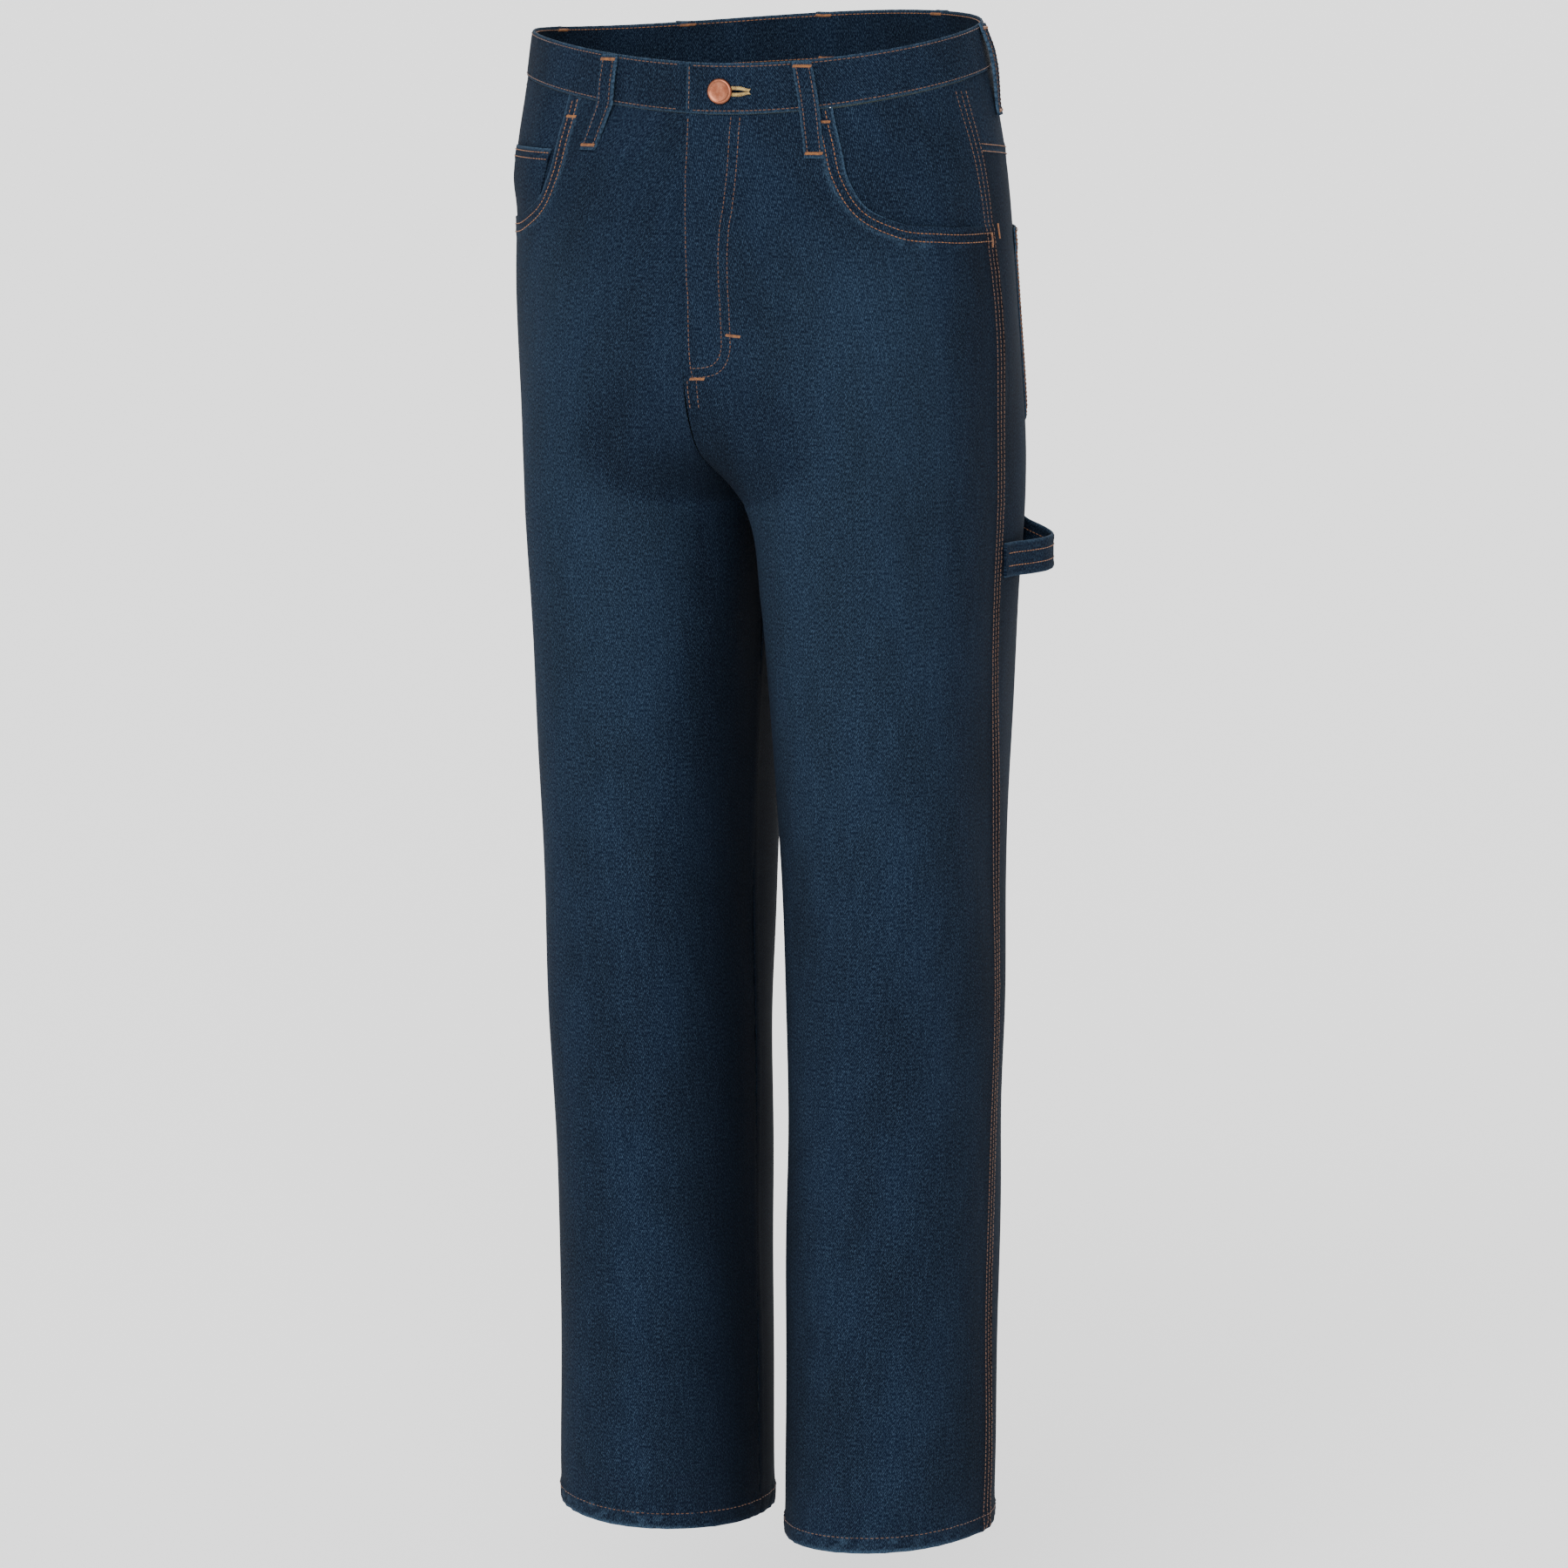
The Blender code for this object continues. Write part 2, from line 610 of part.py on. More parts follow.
def tool_pocket(collection):
    top, bottom, near, far = TOOL_POCKET
    height, distance = np.meshgrid(
        np.linspace(top, bottom, PATCH_ROWS), np.linspace(near, far, TOOL_COLUMNS), indexing="ij"
    )
    share = share_from_side(height, distance, BACK)
    out = PATCH_GAP + PATCH_WALL
    return sheet("tool_pocket", height, share, BACK, RIGHT, out, PATCH_WALL, collection)


def waistband(collection, cutters):
    """An open ring: it starts at the lapped left end, and its right end runs on behind that."""
    front = np.linspace(0, 1, BAND_FRONT_COLUMNS)
    back = np.linspace(0, 1, BAND_BACK_COLUMNS)
    lap_width = panel_width(0.0, FRONT)
    stretches = (
        (FRONT, LEFT, 1 - front, "end"),
        (BACK, LEFT, back[1:], ""),
        (BACK, RIGHT, back[:0:-1], ""),
        (FRONT, RIGHT, front[:-1], ""),
        (FRONT, RIGHT, front[-1:], "under"),
        (FRONT, LEFT, 1 - front[1:][front[1:] * lap_width <= UNDERLAP], "under"),
    )
    outer, inner = [], []
    for face, side, shares, kind in stretches:
        low = height_on(seam_height, shares, face, side) + BAND_GAP / 2
        high = height_on(rim_height, shares, face, side) - (UNDER_LOW if kind == "under" else 0.0)
        height = low + (high - low) * np.linspace(0, 1, BAND_ROWS)[:, None]
        out = np.full(len(shares), BAND_PROUD)
        if kind == "end":
            out += END_LIFT * smooth(LIFT_END[1], LIFT_END[0], (1 - shares) * lap_width)
        if kind == "under":
            out -= END_SINK
        share = np.broadcast_to(shares, height.shape)
        outer.append(place(height, share, face, side, out))
        inner.append(place(height, share, face, side, out - BAND_WALL))
    band = wall("waistband", np.concatenate(outer, 1), np.concatenate(inner, 1), collection)
    slot = slot_cutter(cutters)
    cut = band.modifiers.new("buttonhole", "BOOLEAN")
    cut.operation = "DIFFERENCE"
    cut.solver = "EXACT"
    cut.object = slot
    return band


def button_seat():
    """Where the button's middle lies on the form, and the way it faces."""
    share = share_from_rise(BUTTON_Z, BUTTON_X, FRONT)
    seat = place(np.array([BUTTON_Z]), share, FRONT, LEFT, 0.0)[0]
    ahead = place(np.array([BUTTON_Z]), share, FRONT, LEFT, 0.01)[0] - seat
    return Vector(seat), Vector(ahead).normalized()


def slot_cutter(cutters):
    """The buttonhole's slot, which goes through the lapped end only."""
    seat, ahead = button_seat()
    level = Vector((0, 0, 1)).cross(ahead).normalized()
    depth = SLOT_TOP - SLOT_BOTTOM
    bm = bmesh.new()
    bmesh.ops.create_cube(bm, size=1.0)
    bmesh.ops.scale(bm, vec=(SLOT_LENGTH, depth, SLOT_HEIGHT), verts=bm.verts)
    mesh = bpy.data.meshes.new("buttonhole_cutter")
    bm.to_mesh(mesh)
    bm.free()
    cutter = bpy.data.objects.new("buttonhole_cutter", mesh)
    middle = seat + level * SLOT_SHIFT + ahead * (SLOT_TOP + SLOT_BOTTOM) / 2
    turn = Matrix((level, ahead, level.cross(ahead))).transposed()
    cutter.matrix_world = Matrix.Translation(middle) @ turn.to_4x4()
    cutter.hide_render = True
    cutter.display_type = "WIRE"
    cutters.objects.link(cutter)
    return cutter


def button(collection):
    """A turned tack button with its face left bare."""
    bm = bmesh.new()
    points = [bm.verts.new((radius, 0.0, height)) for radius, height in BUTTON_PROFILE]
    for a, b in zip(points, points[1:]):
        bm.edges.new((a, b))
    obj = add_object("button", bm, collection, colour=COPPER, roughness=0.35, metallic=1.0)
    screw = obj.modifiers.new("turn", "SCREW")
    screw.steps = BUTTON_STEPS
    screw.render_steps = BUTTON_STEPS
    screw.use_merge_vertices = True
    screw.merge_threshold = 0.00001
    seat, ahead = button_seat()
    obj.location = seat + ahead * (BAND_PROUD + END_LIFT)
    obj.rotation_euler = ahead.to_track_quat("Z", "Y").to_euler()
    return obj


def belt_loop(name, collection):
    """A strap that stands clear of the band between its foot and its folded top."""
    face, side, at_rim, at_seam, at_foot = LOOPS[name]
    stand = np.array(LOOP_STAND)
    rows = np.linspace(0, 1, LOOP_ROWS)
    lift = np.interp(rows, stand[:, 0], stand[:, 1])
    rim_share = share_from_rise(0.0, abs(at_rim), face)
    high = float(height_on(rim_height, np.array([rim_share]), face, side)[0]) - LOOP_TOP_GAP
    seam = float(height_on(seam_height, np.array([rim_share]), face, side)[0])
    foot = seam - LOOP_BELOW_SEAM
    height = foot + (high - foot) * rows
    middle = np.interp(height, (foot, seam, high), (at_foot, at_seam, at_rim))
    grids = []
    for out in (lift + LOOP_WALL, lift):
        columns = []
        for aside in (-LOOP_WIDTH / 2, 0.0, LOOP_WIDTH / 2):
            distance = middle + aside
            share = share_from_rise(height, np.abs(distance), face)
            here = place(height, share, face, side, out)
            there = place(height, share, face, -side, out)
            columns.append(np.where(distance[:, None] < 0, there, here))
        grids.append(np.stack(columns, 1))
    return wall(name, grids[0], grids[1], collection)


def hammer_loop(collection):
    """A strap that runs back from the left side seam, turns, and is sewn to the back panel."""
    table = np.array(STRAP_PATH)
    share = share_from_side(table[:, 2], table[:, 0], BACK)
    knots = place(table[:, 2], share, BACK, LEFT, table[:, 1])
    spread = np.concatenate([[0], np.cumsum(np.linalg.norm(np.diff(knots, axis=0), axis=1))])
    slope = np.gradient(knots, spread, axis=0)
    even = np.linspace(0, spread[-1], STRAP_STEPS)
    row = np.clip(np.searchsorted(spread, even, side="right") - 1, 0, len(spread) - 2)
    d = (spread[row + 1] - spread[row])[:, None]
    s = (even - spread[row])[:, None] / d
    path = (
        (2 * s**3 - 3 * s**2 + 1) * knots[row]
        + (s**3 - 2 * s**2 + s) * d * slope[row]
        + (3 * s**2 - 2 * s**3) * knots[row + 1]
        + (s**3 - s**2) * d * slope[row + 1]
    )
    ahead = np.gradient(path, axis=0)
    aside = np.cross(ahead, (0, 0, 1))
    aside /= np.linalg.norm(aside, axis=1, keepdims=True)
    rise = np.array([0, 0, STRAP_HEIGHT / 2])
    grids = [
        np.stack([path + aside * half + rise * end for end in (-1, 0, 1)], 1)
        for half in (STRAP_WALL / 2, -STRAP_WALL / 2)
    ]
    return wall("hammer_loop", grids[0], grids[1], collection)


def clear_scene():
    for obj in list(bpy.data.objects):
        bpy.data.objects.remove(obj, do_unlink=True)


def new_collection(name):
    collection = bpy.data.collections.new(name)
    bpy.context.scene.collection.children.link(collection)
    return collection


def main():
    clear_scene()
    pants = new_collection("carpenter_pants")
    cutters = new_collection("cutters")
    for side in (LEFT, RIGHT):
        front_panel(side, pants)
        back_panel(side, pants)
        yoke(side, pants)
        pocket_facing(side, pants)
        back_pocket(side, pants)
    watch_pocket(pants)
    tool_pocket(pants)
    waistband(pants, cutters)
    for name in LOOPS:
        belt_loop(name, pants)
    hammer_loop(pants)
    button(pants)


main()
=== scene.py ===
"""Looks of the carpenter pants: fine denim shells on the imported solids' form, with their sewing.

Metres, in the part's frame: +X is the wearer's left, -Y the front, +Z up, and the origin is the
centre of the waist opening. A place on the cloth is a height, a share of the way from the side
seam to the rise or the inseam, and a distance outwards, as in the part itself. The right leg is
the left one mirrored.
"""

import math

import bmesh
import bpy
import numpy as np
from mathutils import Matrix, Vector


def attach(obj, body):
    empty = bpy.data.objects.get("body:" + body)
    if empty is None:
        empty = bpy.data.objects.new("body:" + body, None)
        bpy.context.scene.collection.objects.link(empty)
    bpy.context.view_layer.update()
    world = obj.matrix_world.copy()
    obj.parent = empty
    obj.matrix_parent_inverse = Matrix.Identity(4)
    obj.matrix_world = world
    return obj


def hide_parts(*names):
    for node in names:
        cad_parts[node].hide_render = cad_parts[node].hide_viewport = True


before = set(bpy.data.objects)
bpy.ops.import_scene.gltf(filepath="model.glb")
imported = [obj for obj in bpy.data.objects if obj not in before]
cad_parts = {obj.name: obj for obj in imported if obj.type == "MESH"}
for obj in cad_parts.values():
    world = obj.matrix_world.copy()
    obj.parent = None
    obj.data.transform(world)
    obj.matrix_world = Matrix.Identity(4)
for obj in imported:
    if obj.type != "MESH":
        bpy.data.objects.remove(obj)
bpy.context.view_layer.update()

FRONT, BACK = 1, -1
LEFT, RIGHT = 1, -1
SIDE_NAMES = {LEFT: "left", RIGHT: "right"}

# Walls and gaps
CLOTH = 0.0016
SEAM = 0.0003
UNDER = 0.0026  # how far below the cloth's face the piece behind it starts

# Waistband
HALF_WIDTH = 0.162
HALF_DEPTH = 0.117
BAND_HEIGHT = 0.0345
BAND_SIDE_LOSS = 0.003
BAND_WALL = 0.0022
BAND_PROUD = 0.0008
BAND_GAP = 0.0004
UNDERLAP = 0.052
UNDER_LOW = 0.001
END_LIFT = 0.0014
END_SINK = 0.0016
LIFT_END = (0.052, 0.080)
# Height of the rim round the waist, as waves: turns, cosine, sine
RIM_WAVES = (
    (0, 0.0163, 0.0000),
    (1, 0.0021, 0.0116),
    (2, 0.0031, 0.0041),
    (3, 0.0000, -0.0015),
)

# Sections of the left leg. A square is the power of a superellipse, and angles are in degrees. Columns:
# height, inner, outer, front, back, widest, square_in, square_out, turn, side_seam
SECTIONS = (
    (0.030, -0.1580, 0.1580, -0.1170, 0.1170, 0.0000, 2.05, 2.05, 0.0, 13.0),
    (-0.020, -0.1650, 0.1665, -0.1152, 0.1270, 0.0050, 2.10, 2.10, 0.0, 11.0),
    (-0.070, -0.1500, 0.1738, -0.1148, 0.1416, 0.0130, 2.20, 2.15, 0.0, 6.0),
    (-0.130, -0.1200, 0.1744, -0.1142, 0.1580, 0.0220, 2.50, 2.20, 0.0, 2.0),
    (-0.190, -0.0800, 0.1738, -0.1106, 0.1692, 0.0310, 2.80, 2.20, 0.0, 0.0),
    (-0.250, -0.0360, 0.1722, -0.1038, 0.1732, 0.0380, 2.90, 2.20, 0.0, 0.0),
    (-0.305, 0.00015, 0.1699, -0.0945, 0.1717, 0.0437, 2.60, 2.20, 0.0, 0.0),
    (-0.370, 0.0081, 0.1678, -0.0862, 0.1645, 0.0445, 2.40, 2.20, 0.5, 0.0),
    (-0.460, 0.0138, 0.1660, -0.0758, 0.1549, 0.0442, 2.30, 2.20, 2.0, 0.0),
    (-0.560, 0.0165, 0.1648, -0.0650, 0.1460, 0.0445, 2.20, 2.15, 3.5, -3.0),
    (-0.680, 0.0170, 0.1634, -0.0530, 0.1392, 0.0465, 2.10, 2.10, 4.0, -3.0),
    (-0.820, 0.0156, 0.1626, -0.0440, 0.1345, 0.0475, 2.05, 2.05, 4.0, 0.0),
    (-0.950, 0.0137, 0.1622, -0.0412, 0.1302, 0.0460, 2.00, 2.00, 4.0, 0.0),
    (-1.060, 0.0122, 0.1602, -0.0405, 0.1285, 0.0445, 2.00, 2.00, 4.0, 0.0),
)
LINE_SAMPLES = 160
NORMAL_RISE = 0.001
NORMAL_TURN = 0.02
# The valley where the two legs meet at the rise is rounded: heights, slope of its sides, and radius
VALLEY_TOP, VALLEY_FULL = -0.150, -0.235
VALLEY_CLOSE, VALLEY_END = -0.262, -0.304
VALLEY_SLOPE = 0.90
VALLEY_ROUND = 0.018
# The waist sits a little towards the wearer's left
WAIST_SHIFT = 0.0035
WAIST_SHIFT_END = -0.090

# Hem
HEM_HEIGHT = -1.0445
HEM_TILT = 0.0033
HEM_DEPTH = 0.0125
HEM_WALL = 0.0030
HEM_FOLD = 0.0015

# Rows of the panels below the pocket mouth or the yoke: height at the side seam, and at the rise or inseam
UPPER_ROWS = (
    (-0.145, -0.1575),
    (-0.175, -0.190),
    (-0.193, -0.206),
    (-0.220, -0.235),
    (-0.246, -0.260),
    (-0.267, -0.279),
    (-0.283, -0.292),
    (-0.296, -0.300),
    (-0.307, -0.305),
    (-0.320, -0.314),
    (-0.345, -0.338),
    (-0.380, -0.376),
)
# Between these heights only the columns past HOOK_START run out into the crotch
HOOK_HEIGHTS = (-0.420, -0.250)
HOOK_START = 0.78
LEG_ROW_TOP = -0.425

# Fly, from the waist seam down: the left front laps over the right one
FLY_LIFT = 0.0012
FLY_SINK = 0.0011
FLY_LAP = 0.012
FLY_FLAT = 0.014
FLY_RAMP = 0.030
FLY_UNDER_FLAT = 0.003
FLY_UNDER_RAMP = 0.018
FLY_LAP_END = (-0.190, -0.206)
FLY_LIFT_END = (-0.206, -0.235)

# Mouth of the scooped front pocket, from where it leaves the waist seam to the side seam: distance
# from the side seam, and depth below the waist seam
SCOOP = (
    (0.1065, 0.0150),
    (0.1120, 0.0400),
    (0.1160, 0.0630),
    (0.1105, 0.0820),
    (0.0930, 0.0925),
    (0.0580, 0.0975),
    (0.0000, 0.0995),
)
SCOOP_MIDDLE_END = -0.130
MOUTH_SAMPLES = 60
FACING_MARGIN = 0.012
FACING_RISE = 0.030
FACING_WALL = 0.0013
WATCH_TOP = 0.0475
WATCH_FROM_SIDE = (0.045, 0.1085)
WATCH_MARGIN = 0.0006
WATCH_WALL = 0.0012

# Yoke
YOKE_SIDE = -0.0620
YOKE_MIDDLE = -0.0850

# Belt loops: face, side, and distances from the rise seam at the rim, at the waist seam and at the foot
LOOP_WIDTH = 0.0135
LOOP_WALL = 0.0018
LOOP_BELOW_SEAM = 0.032
LOOP_TOP_GAP = 0.0005
LOOPS = {
    "belt_loop_1": (FRONT, LEFT, 0.0790, 0.0855, 0.0908),
    "belt_loop_2": (BACK, LEFT, 0.2050, 0.2070, 0.2090),
    "belt_loop_3": (BACK, LEFT, 0.1010, 0.1010, 0.1015),
    "belt_loop_4": (BACK, LEFT, 0.0000, 0.0000, 0.0000),
    "belt_loop_5": (BACK, RIGHT, 0.1010, 0.1010, 0.1015),
    "belt_loop_6": (BACK, RIGHT, 0.2050, 0.2060, 0.2080),
    "belt_loop_7": (FRONT, RIGHT, 0.0596, 0.0614, 0.0766),
}
# Share of a loop's height, and how far its inner face stands from the cloth there
LOOP_STAND = (
    (0.00, 0.0004),
    (0.12, 0.0004),
    (0.30, 0.0020),
    (0.50, 0.0036),
    (0.72, 0.0040),
    (0.90, 0.0022),
    (1.00, 0.0014),
)

# Patch pockets. Back: top, bottom, tip, near and far edge from the rise seam, and taper of each edge.
# Tool: top, bottom, near and far edge from the side seam
PATCH_WALL = 0.0014
PATCH_GAP = 0.0006
BACK_POCKET = (-0.1180, -0.2520, -0.2720, 0.0520, 0.2060, 0.0090)
TOOL_POCKET = (-0.4000, -0.5900, 0.0060, 0.0800)

# Hammer loop: a strap from the left side seam round to the back panel. Its path: distance behind the
# seam, distance off the cloth, height
STRAP_HEIGHT = 0.024
STRAP_WALL = 0.0020
STRAP_PATH = (
    (0.0030, 0.0018, -0.3470),
    (0.0130, 0.0032, -0.3470),
    (0.0350, 0.0120, -0.3470),
    (0.0540, 0.0195, -0.3465),
    (0.0670, 0.0215, -0.3455),
    (0.0780, 0.0160, -0.3430),
    (0.0900, 0.0050, -0.3390),
    (0.1020, 0.0018, -0.3360),
)

# Button and its slot in the lapped end of the band
BUTTON_X = 0.0245
BUTTON_Z = -0.0192
SLOT_LENGTH = 0.0200
SLOT_HEIGHT = 0.0016
SLOT_SHIFT = 0.0072
SLOT_BOTTOM = -0.0005
SLOT_TOP = 0.0045
SLOT_THREAD = 0.0023

# Broad soft folds: face, side, share of the width from the side seam, height, length, width, lean in
# degrees, and depth, below zero for a trough
FOLDS = (
    (FRONT, LEFT, 0.72, -0.335, 0.090, 0.030, 28.0, -0.0016),
    (FRONT, RIGHT, 0.70, -0.350, 0.100, 0.030, 26.0, -0.0016),
    (FRONT, LEFT, 0.62, -0.600, 0.120, 0.034, 12.0, -0.0014),
    (FRONT, RIGHT, 0.55, -0.640, 0.130, 0.034, 10.0, -0.0014),
    (BACK, LEFT, 0.60, -0.330, 0.110, 0.034, 30.0, -0.0020),
    (BACK, RIGHT, 0.58, -0.345, 0.100, 0.034, 32.0, -0.0020),
    (BACK, LEFT, 0.45, -0.590, 0.070, 0.036, 68.0, -0.0020),
    (BACK, RIGHT, 0.50, -0.610, 0.070, 0.036, 64.0, -0.0020),
)

# Fine grids of the cloth: counts of rows and columns
FINE_FRONT = (34, 18)
FINE_BACK = (46, 22)
ROW_STEP = 0.0042
HEM_FINE_ROWS = 9
FINE_SCOOP_ROWS = 40
FINE_YOKE_ROWS = 20
FINE_FACING = (40, 36)
FINE_PATCH = (46, 50)
FINE_WATCH = (24, 30)
FINE_TOOL = (60, 24)
FINE_BAND_FRONT = 90
FINE_BAND_BACK = 130
FINE_BAND_ROWS = 13
LOOP_EDGE_SWELL = 0.0004
LOOP_EDGE_DROP = 0.0007
LOOP_FRAY, LOOP_FRAY_LENGTH = 0.00016, 0.0031

# Curved line of stitches beside the fly: distance from the rise seam, and height
J_LINE = (
    (0.0384, -0.0350),
    (0.0362, -0.0868),
    (0.0322, -0.1178),
    (0.0316, -0.1413),
    (0.0322, -0.1654),
    (0.0329, -0.1831),
    (0.0325, -0.1935),
    (0.0295, -0.2025),
    (0.0235, -0.2090),
    (0.0150, -0.2118),
    (0.0060, -0.2125),
)
FLY_STITCH_GAP = 0.0064

# Low swells: width of a wave along the cloth and up it, depth, and start
SWELLS = (
    (0.160, 0.420, 0.00070, 0.3),
    (-0.095, 0.260, 0.00045, 1.9),
    (0.240, -0.170, 0.00040, 4.0),
)
SWELL_SEED = 2.1
# The side seam's raised layers: their lift, how far they reach on each face, and their slope's width
SIDE_RIDGE = 0.0006
SIDE_REACH = {FRONT: 0.0130, BACK: 0.0016}
SIDE_SLOPE = 0.0012
SIDE_RIDGE_START = (-0.108, -0.116)
# Other raised strips: lift, distance where they are flat, and distance where they end
INSEAM_RIDGE = (0.0005, 0.0045, 0.0062)
RISE_RIDGE = (0.0005, 0.0085, 0.0100)
HEM_RIDGE = (0.0007, HEM_DEPTH, HEM_DEPTH + 0.0012)
SCOOP_RIDGE = (0.00055, 0.0125, 0.0142)
YOKE_RIDGE = 0.0005
YOKE_RIDGE_LIMITS = (-0.0002, 0.0072, 0.0010)
FLY_RIDGE = 0.00045
LEG_RIDGE_START = (-0.300, -0.330)
# Puckers along the seams: depth, length of one along the seam, and reach away from it
SIDE_PUCKER = (0.00028, 0.0125, 0.010)
INSEAM_PUCKER = (0.00040, 0.0160, 0.014)
RISE_PUCKER = (0.00030, 0.0150, 0.014)
WAIST_PUCKER = (0.00045, 0.0170, 0.016)
SCOOP_PUCKER = (0.00022, 0.0120, 0.018)
YOKE_PUCKER = (0.00030, 0.0150, 0.012)
FLY_PUCKER = (0.00030, 0.0190, 0.010)
UNDERLAP_PUCKER = (0.00045, 0.0240, 0.012)
UNDERLAP_PUCKER_AT = 0.012
UNDERLAP_END = (-0.200, -0.240)
LAP_COLUMNS = 0.90
BAND_PUCKER = (0.00022, 0.0140, 0.008)
BAND_SWELL, BAND_SWELL_LENGTH = 0.0003, 0.061
BAND_GROOVE, BAND_GROOVE_AT, BAND_GROOVE_WIDTH = 0.0003, 0.0028, 0.0009
HEM_PUCKER = 0.00055
HEM_PUCKER_LENGTH = 0.0135
HEM_PUCKER_REACH = 0.010
HEM_PUCKER_SLANT = 0.8
HEM_THICKENS = (HEM_HEIGHT + 0.016, HEM_HEIGHT + 0.013)
FLY_WIDTH = (0.036, 0.040)
FLY_FOOT = (-0.200, -0.212)
FLY_DARK_WIDTH = (0.032, 0.040)
FLY_DARK_END = (-0.198, -0.212)
FLY_CREASE = (0.00035, 0.0260)
# Rubbed and faded cloth: how pale it is at each place, from 0 to 1, and how wide
MOUTH_WEAR, HEM_EDGE_WEAR, HEM_PUCKER_WEAR = 0.60, 0.80, 0.40
SCOOP_WEAR, RISE_WEAR, FLY_WEAR, FLY_DARK = 0.35, 0.35, 0.30, 0.28
SCOOP_WEAR_AT, RISE_WEAR_AT = 0.0130, 0.009
SEAM_WEAR = {FRONT: 0.30, BACK: 0.35}
EDGE_REACH, HEM_REACH, RIDGE_REACH, SEAM_REACH = 0.0016, 0.0020, 0.0012, 0.0010
# The pale thigh band is partly a wash fade and partly painted light on the lit front of each leg
THIGH_FADE_AND_PAINTED_LIGHT, THIGH_FADE_AND_LIGHT_WIDTH = 0.10, 0.30
THIGH_MIDDLE = {FRONT: 0.50, BACK: 0.45}
# Darker cloth: a dark line on the felled seam's layers, partly their own indigo and partly painted shade of
# the ridge, and painted shade towards the side seam and on the inner side of each leg, where less light
# falls; amount, and distances from the seam between which it fades out
RIDGE_DARK_AND_PAINTED_SHADE, SIDE_PAINTED_SHADE, INSEAM_PAINTED_SHADE, MOST_PAINTED_SHADE = 0.30, 0.45, 0.75, 0.80
SIDE_PAINTED_SHADE_REACH, INSEAM_PAINTED_SHADE_REACH = (0.005, 0.085), (0.010, 0.110)
# How far the cut edges are rounded off: panels, facings and patches
PANEL_EDGE = {FRONT: 0.0005, BACK: 0.0004}
PATCH_EDGE = 0.0002
LEAST_GAP = 0.0001
# The smaller turned edges and swells of the pockets
FACING_BULGE, FACING_BULGE_LENGTH = 0.0004, 0.055
FACING_JOIN = (0.012, 0.034)
FACING_JOIN_DEPTH = (0.0042, 0.0024)
WATCH_LIFT, WATCH_SWELL, WATCH_RAMP = 0.0009, 0.0009, 0.010
WATCH_HEM, WATCH_HEM_DEPTH = 0.0004, 0.0095
POCKET_LIFT, POCKET_SWELL, POCKET_RAMP = 0.0011, 0.0009, (0.002, 0.012)
POCKET_HEM, POCKET_HEM_DEPTH, POCKET_BAG = 0.0007, 0.0150, 0.0010
POCKET_LENGTH = 0.14
TOOL_HEM, TOOL_HEM_DEPTH = 0.0007, 0.0130
SIDE_STITCHES = (0.0006, 0.0060, 0.0114)
SIDE_STITCH_TOP = -0.0200
SCOOP_STITCHES = (0.0052, 0.0108)
BAND_STITCH = 0.065
POINT_STEP = 0.002
STITCH_WOBBLE = 0.00006
FLY_EDGE_ROW = ((0.150, 0.190, 0.206, 0.226), (0.0018, 0.0035, 0.0050, 0.0080))
RISE_STITCHES = (0.0025, 0.0085)
CENTRE_BACK_STITCHES = (0.0020, 0.0080)
YOKE_STITCHES = (0.0008, 0.0056)
HEM_STITCH, HEM_PITCH = 0.0114, 0.0036
WATCH_STITCHES = (0.0030, 0.0075)
PATCH_STITCHES = (0.0022, 0.0082)
POCKET_TOP_STITCHES = (0.0030, 0.0125)
TOOL_TOP_STITCH = 0.0110
LOOP_STITCHES = (-0.62, 0.62)
STRAP_STITCH_COLUMNS = (5, 11)
TACK_WIDTH, TACK_SPACING = 0.0021, 0.00042
LOOP_GRID, LOOP_SEWN_ROWS = (46, 15), 60
STRAP_COLUMNS = 17
# A point inside the waist, which outward directions face away from
BODY_MIDDLE = np.array([0, 0.02, 0])
# Bartacks on both sides: distance from the side seam, height, face, and run along the cloth and up it
SIDE_TACKS = (
    (0.1175, -0.0392, FRONT, 0.0095, 0.0),
    (0.0045, -0.1225, FRONT, 0.0, 0.0100),
    (0.0086, -0.1171, BACK, 0.0, 0.0100),
)
# Bartacks of the fly: distance from the rise, height, and run along the cloth and up it
FLY_TACKS = (
    (0.0350, -0.1835, 0.0100, -0.0010),
    (0.0090, -0.2135, 0.0095, 0.0),
)
PATCH_TACK_INSET, PATCH_TACK_RUN = 0.0052, 0.0090

# Thread: share along a stitch, share of its radius, and share of its lift
THREAD_RINGS = (
    (0.00, 0.45, -0.50),
    (0.16, 0.92, 0.45),
    (0.50, 1.00, 1.00),
    (0.84, 0.92, 0.45),
    (1.00, 0.45, -0.50),
)
THREAD_SIDES = 5
STITCH_PITCH = 0.0031
STITCH_LENGTH = 0.0023
STITCH_RADIUS = 0.00032
STITCH_LIFT = 0.00022
TACK_RADIUS = 0.00028
TACK_LIFT = 0.00045

# The button's half outline: radius, height over the band
BUTTON_STEPS = 64
BUTTON_OUTLINE = (
    (0.0000, 0.0029),
    (0.0030, 0.0029),
    (0.0058, 0.0028),
    (0.0064, 0.0029),
    (0.0069, 0.0033),
    (0.0075, 0.0034),
    (0.0081, 0.0031),
    (0.0086, 0.0024),
    (0.0087, 0.0017),
    (0.0083, 0.0010),
    (0.0074, 0.0007),
    (0.0017, 0.0005),
    (0.0017, -0.0020),
    (0.0000, -0.0020),
)

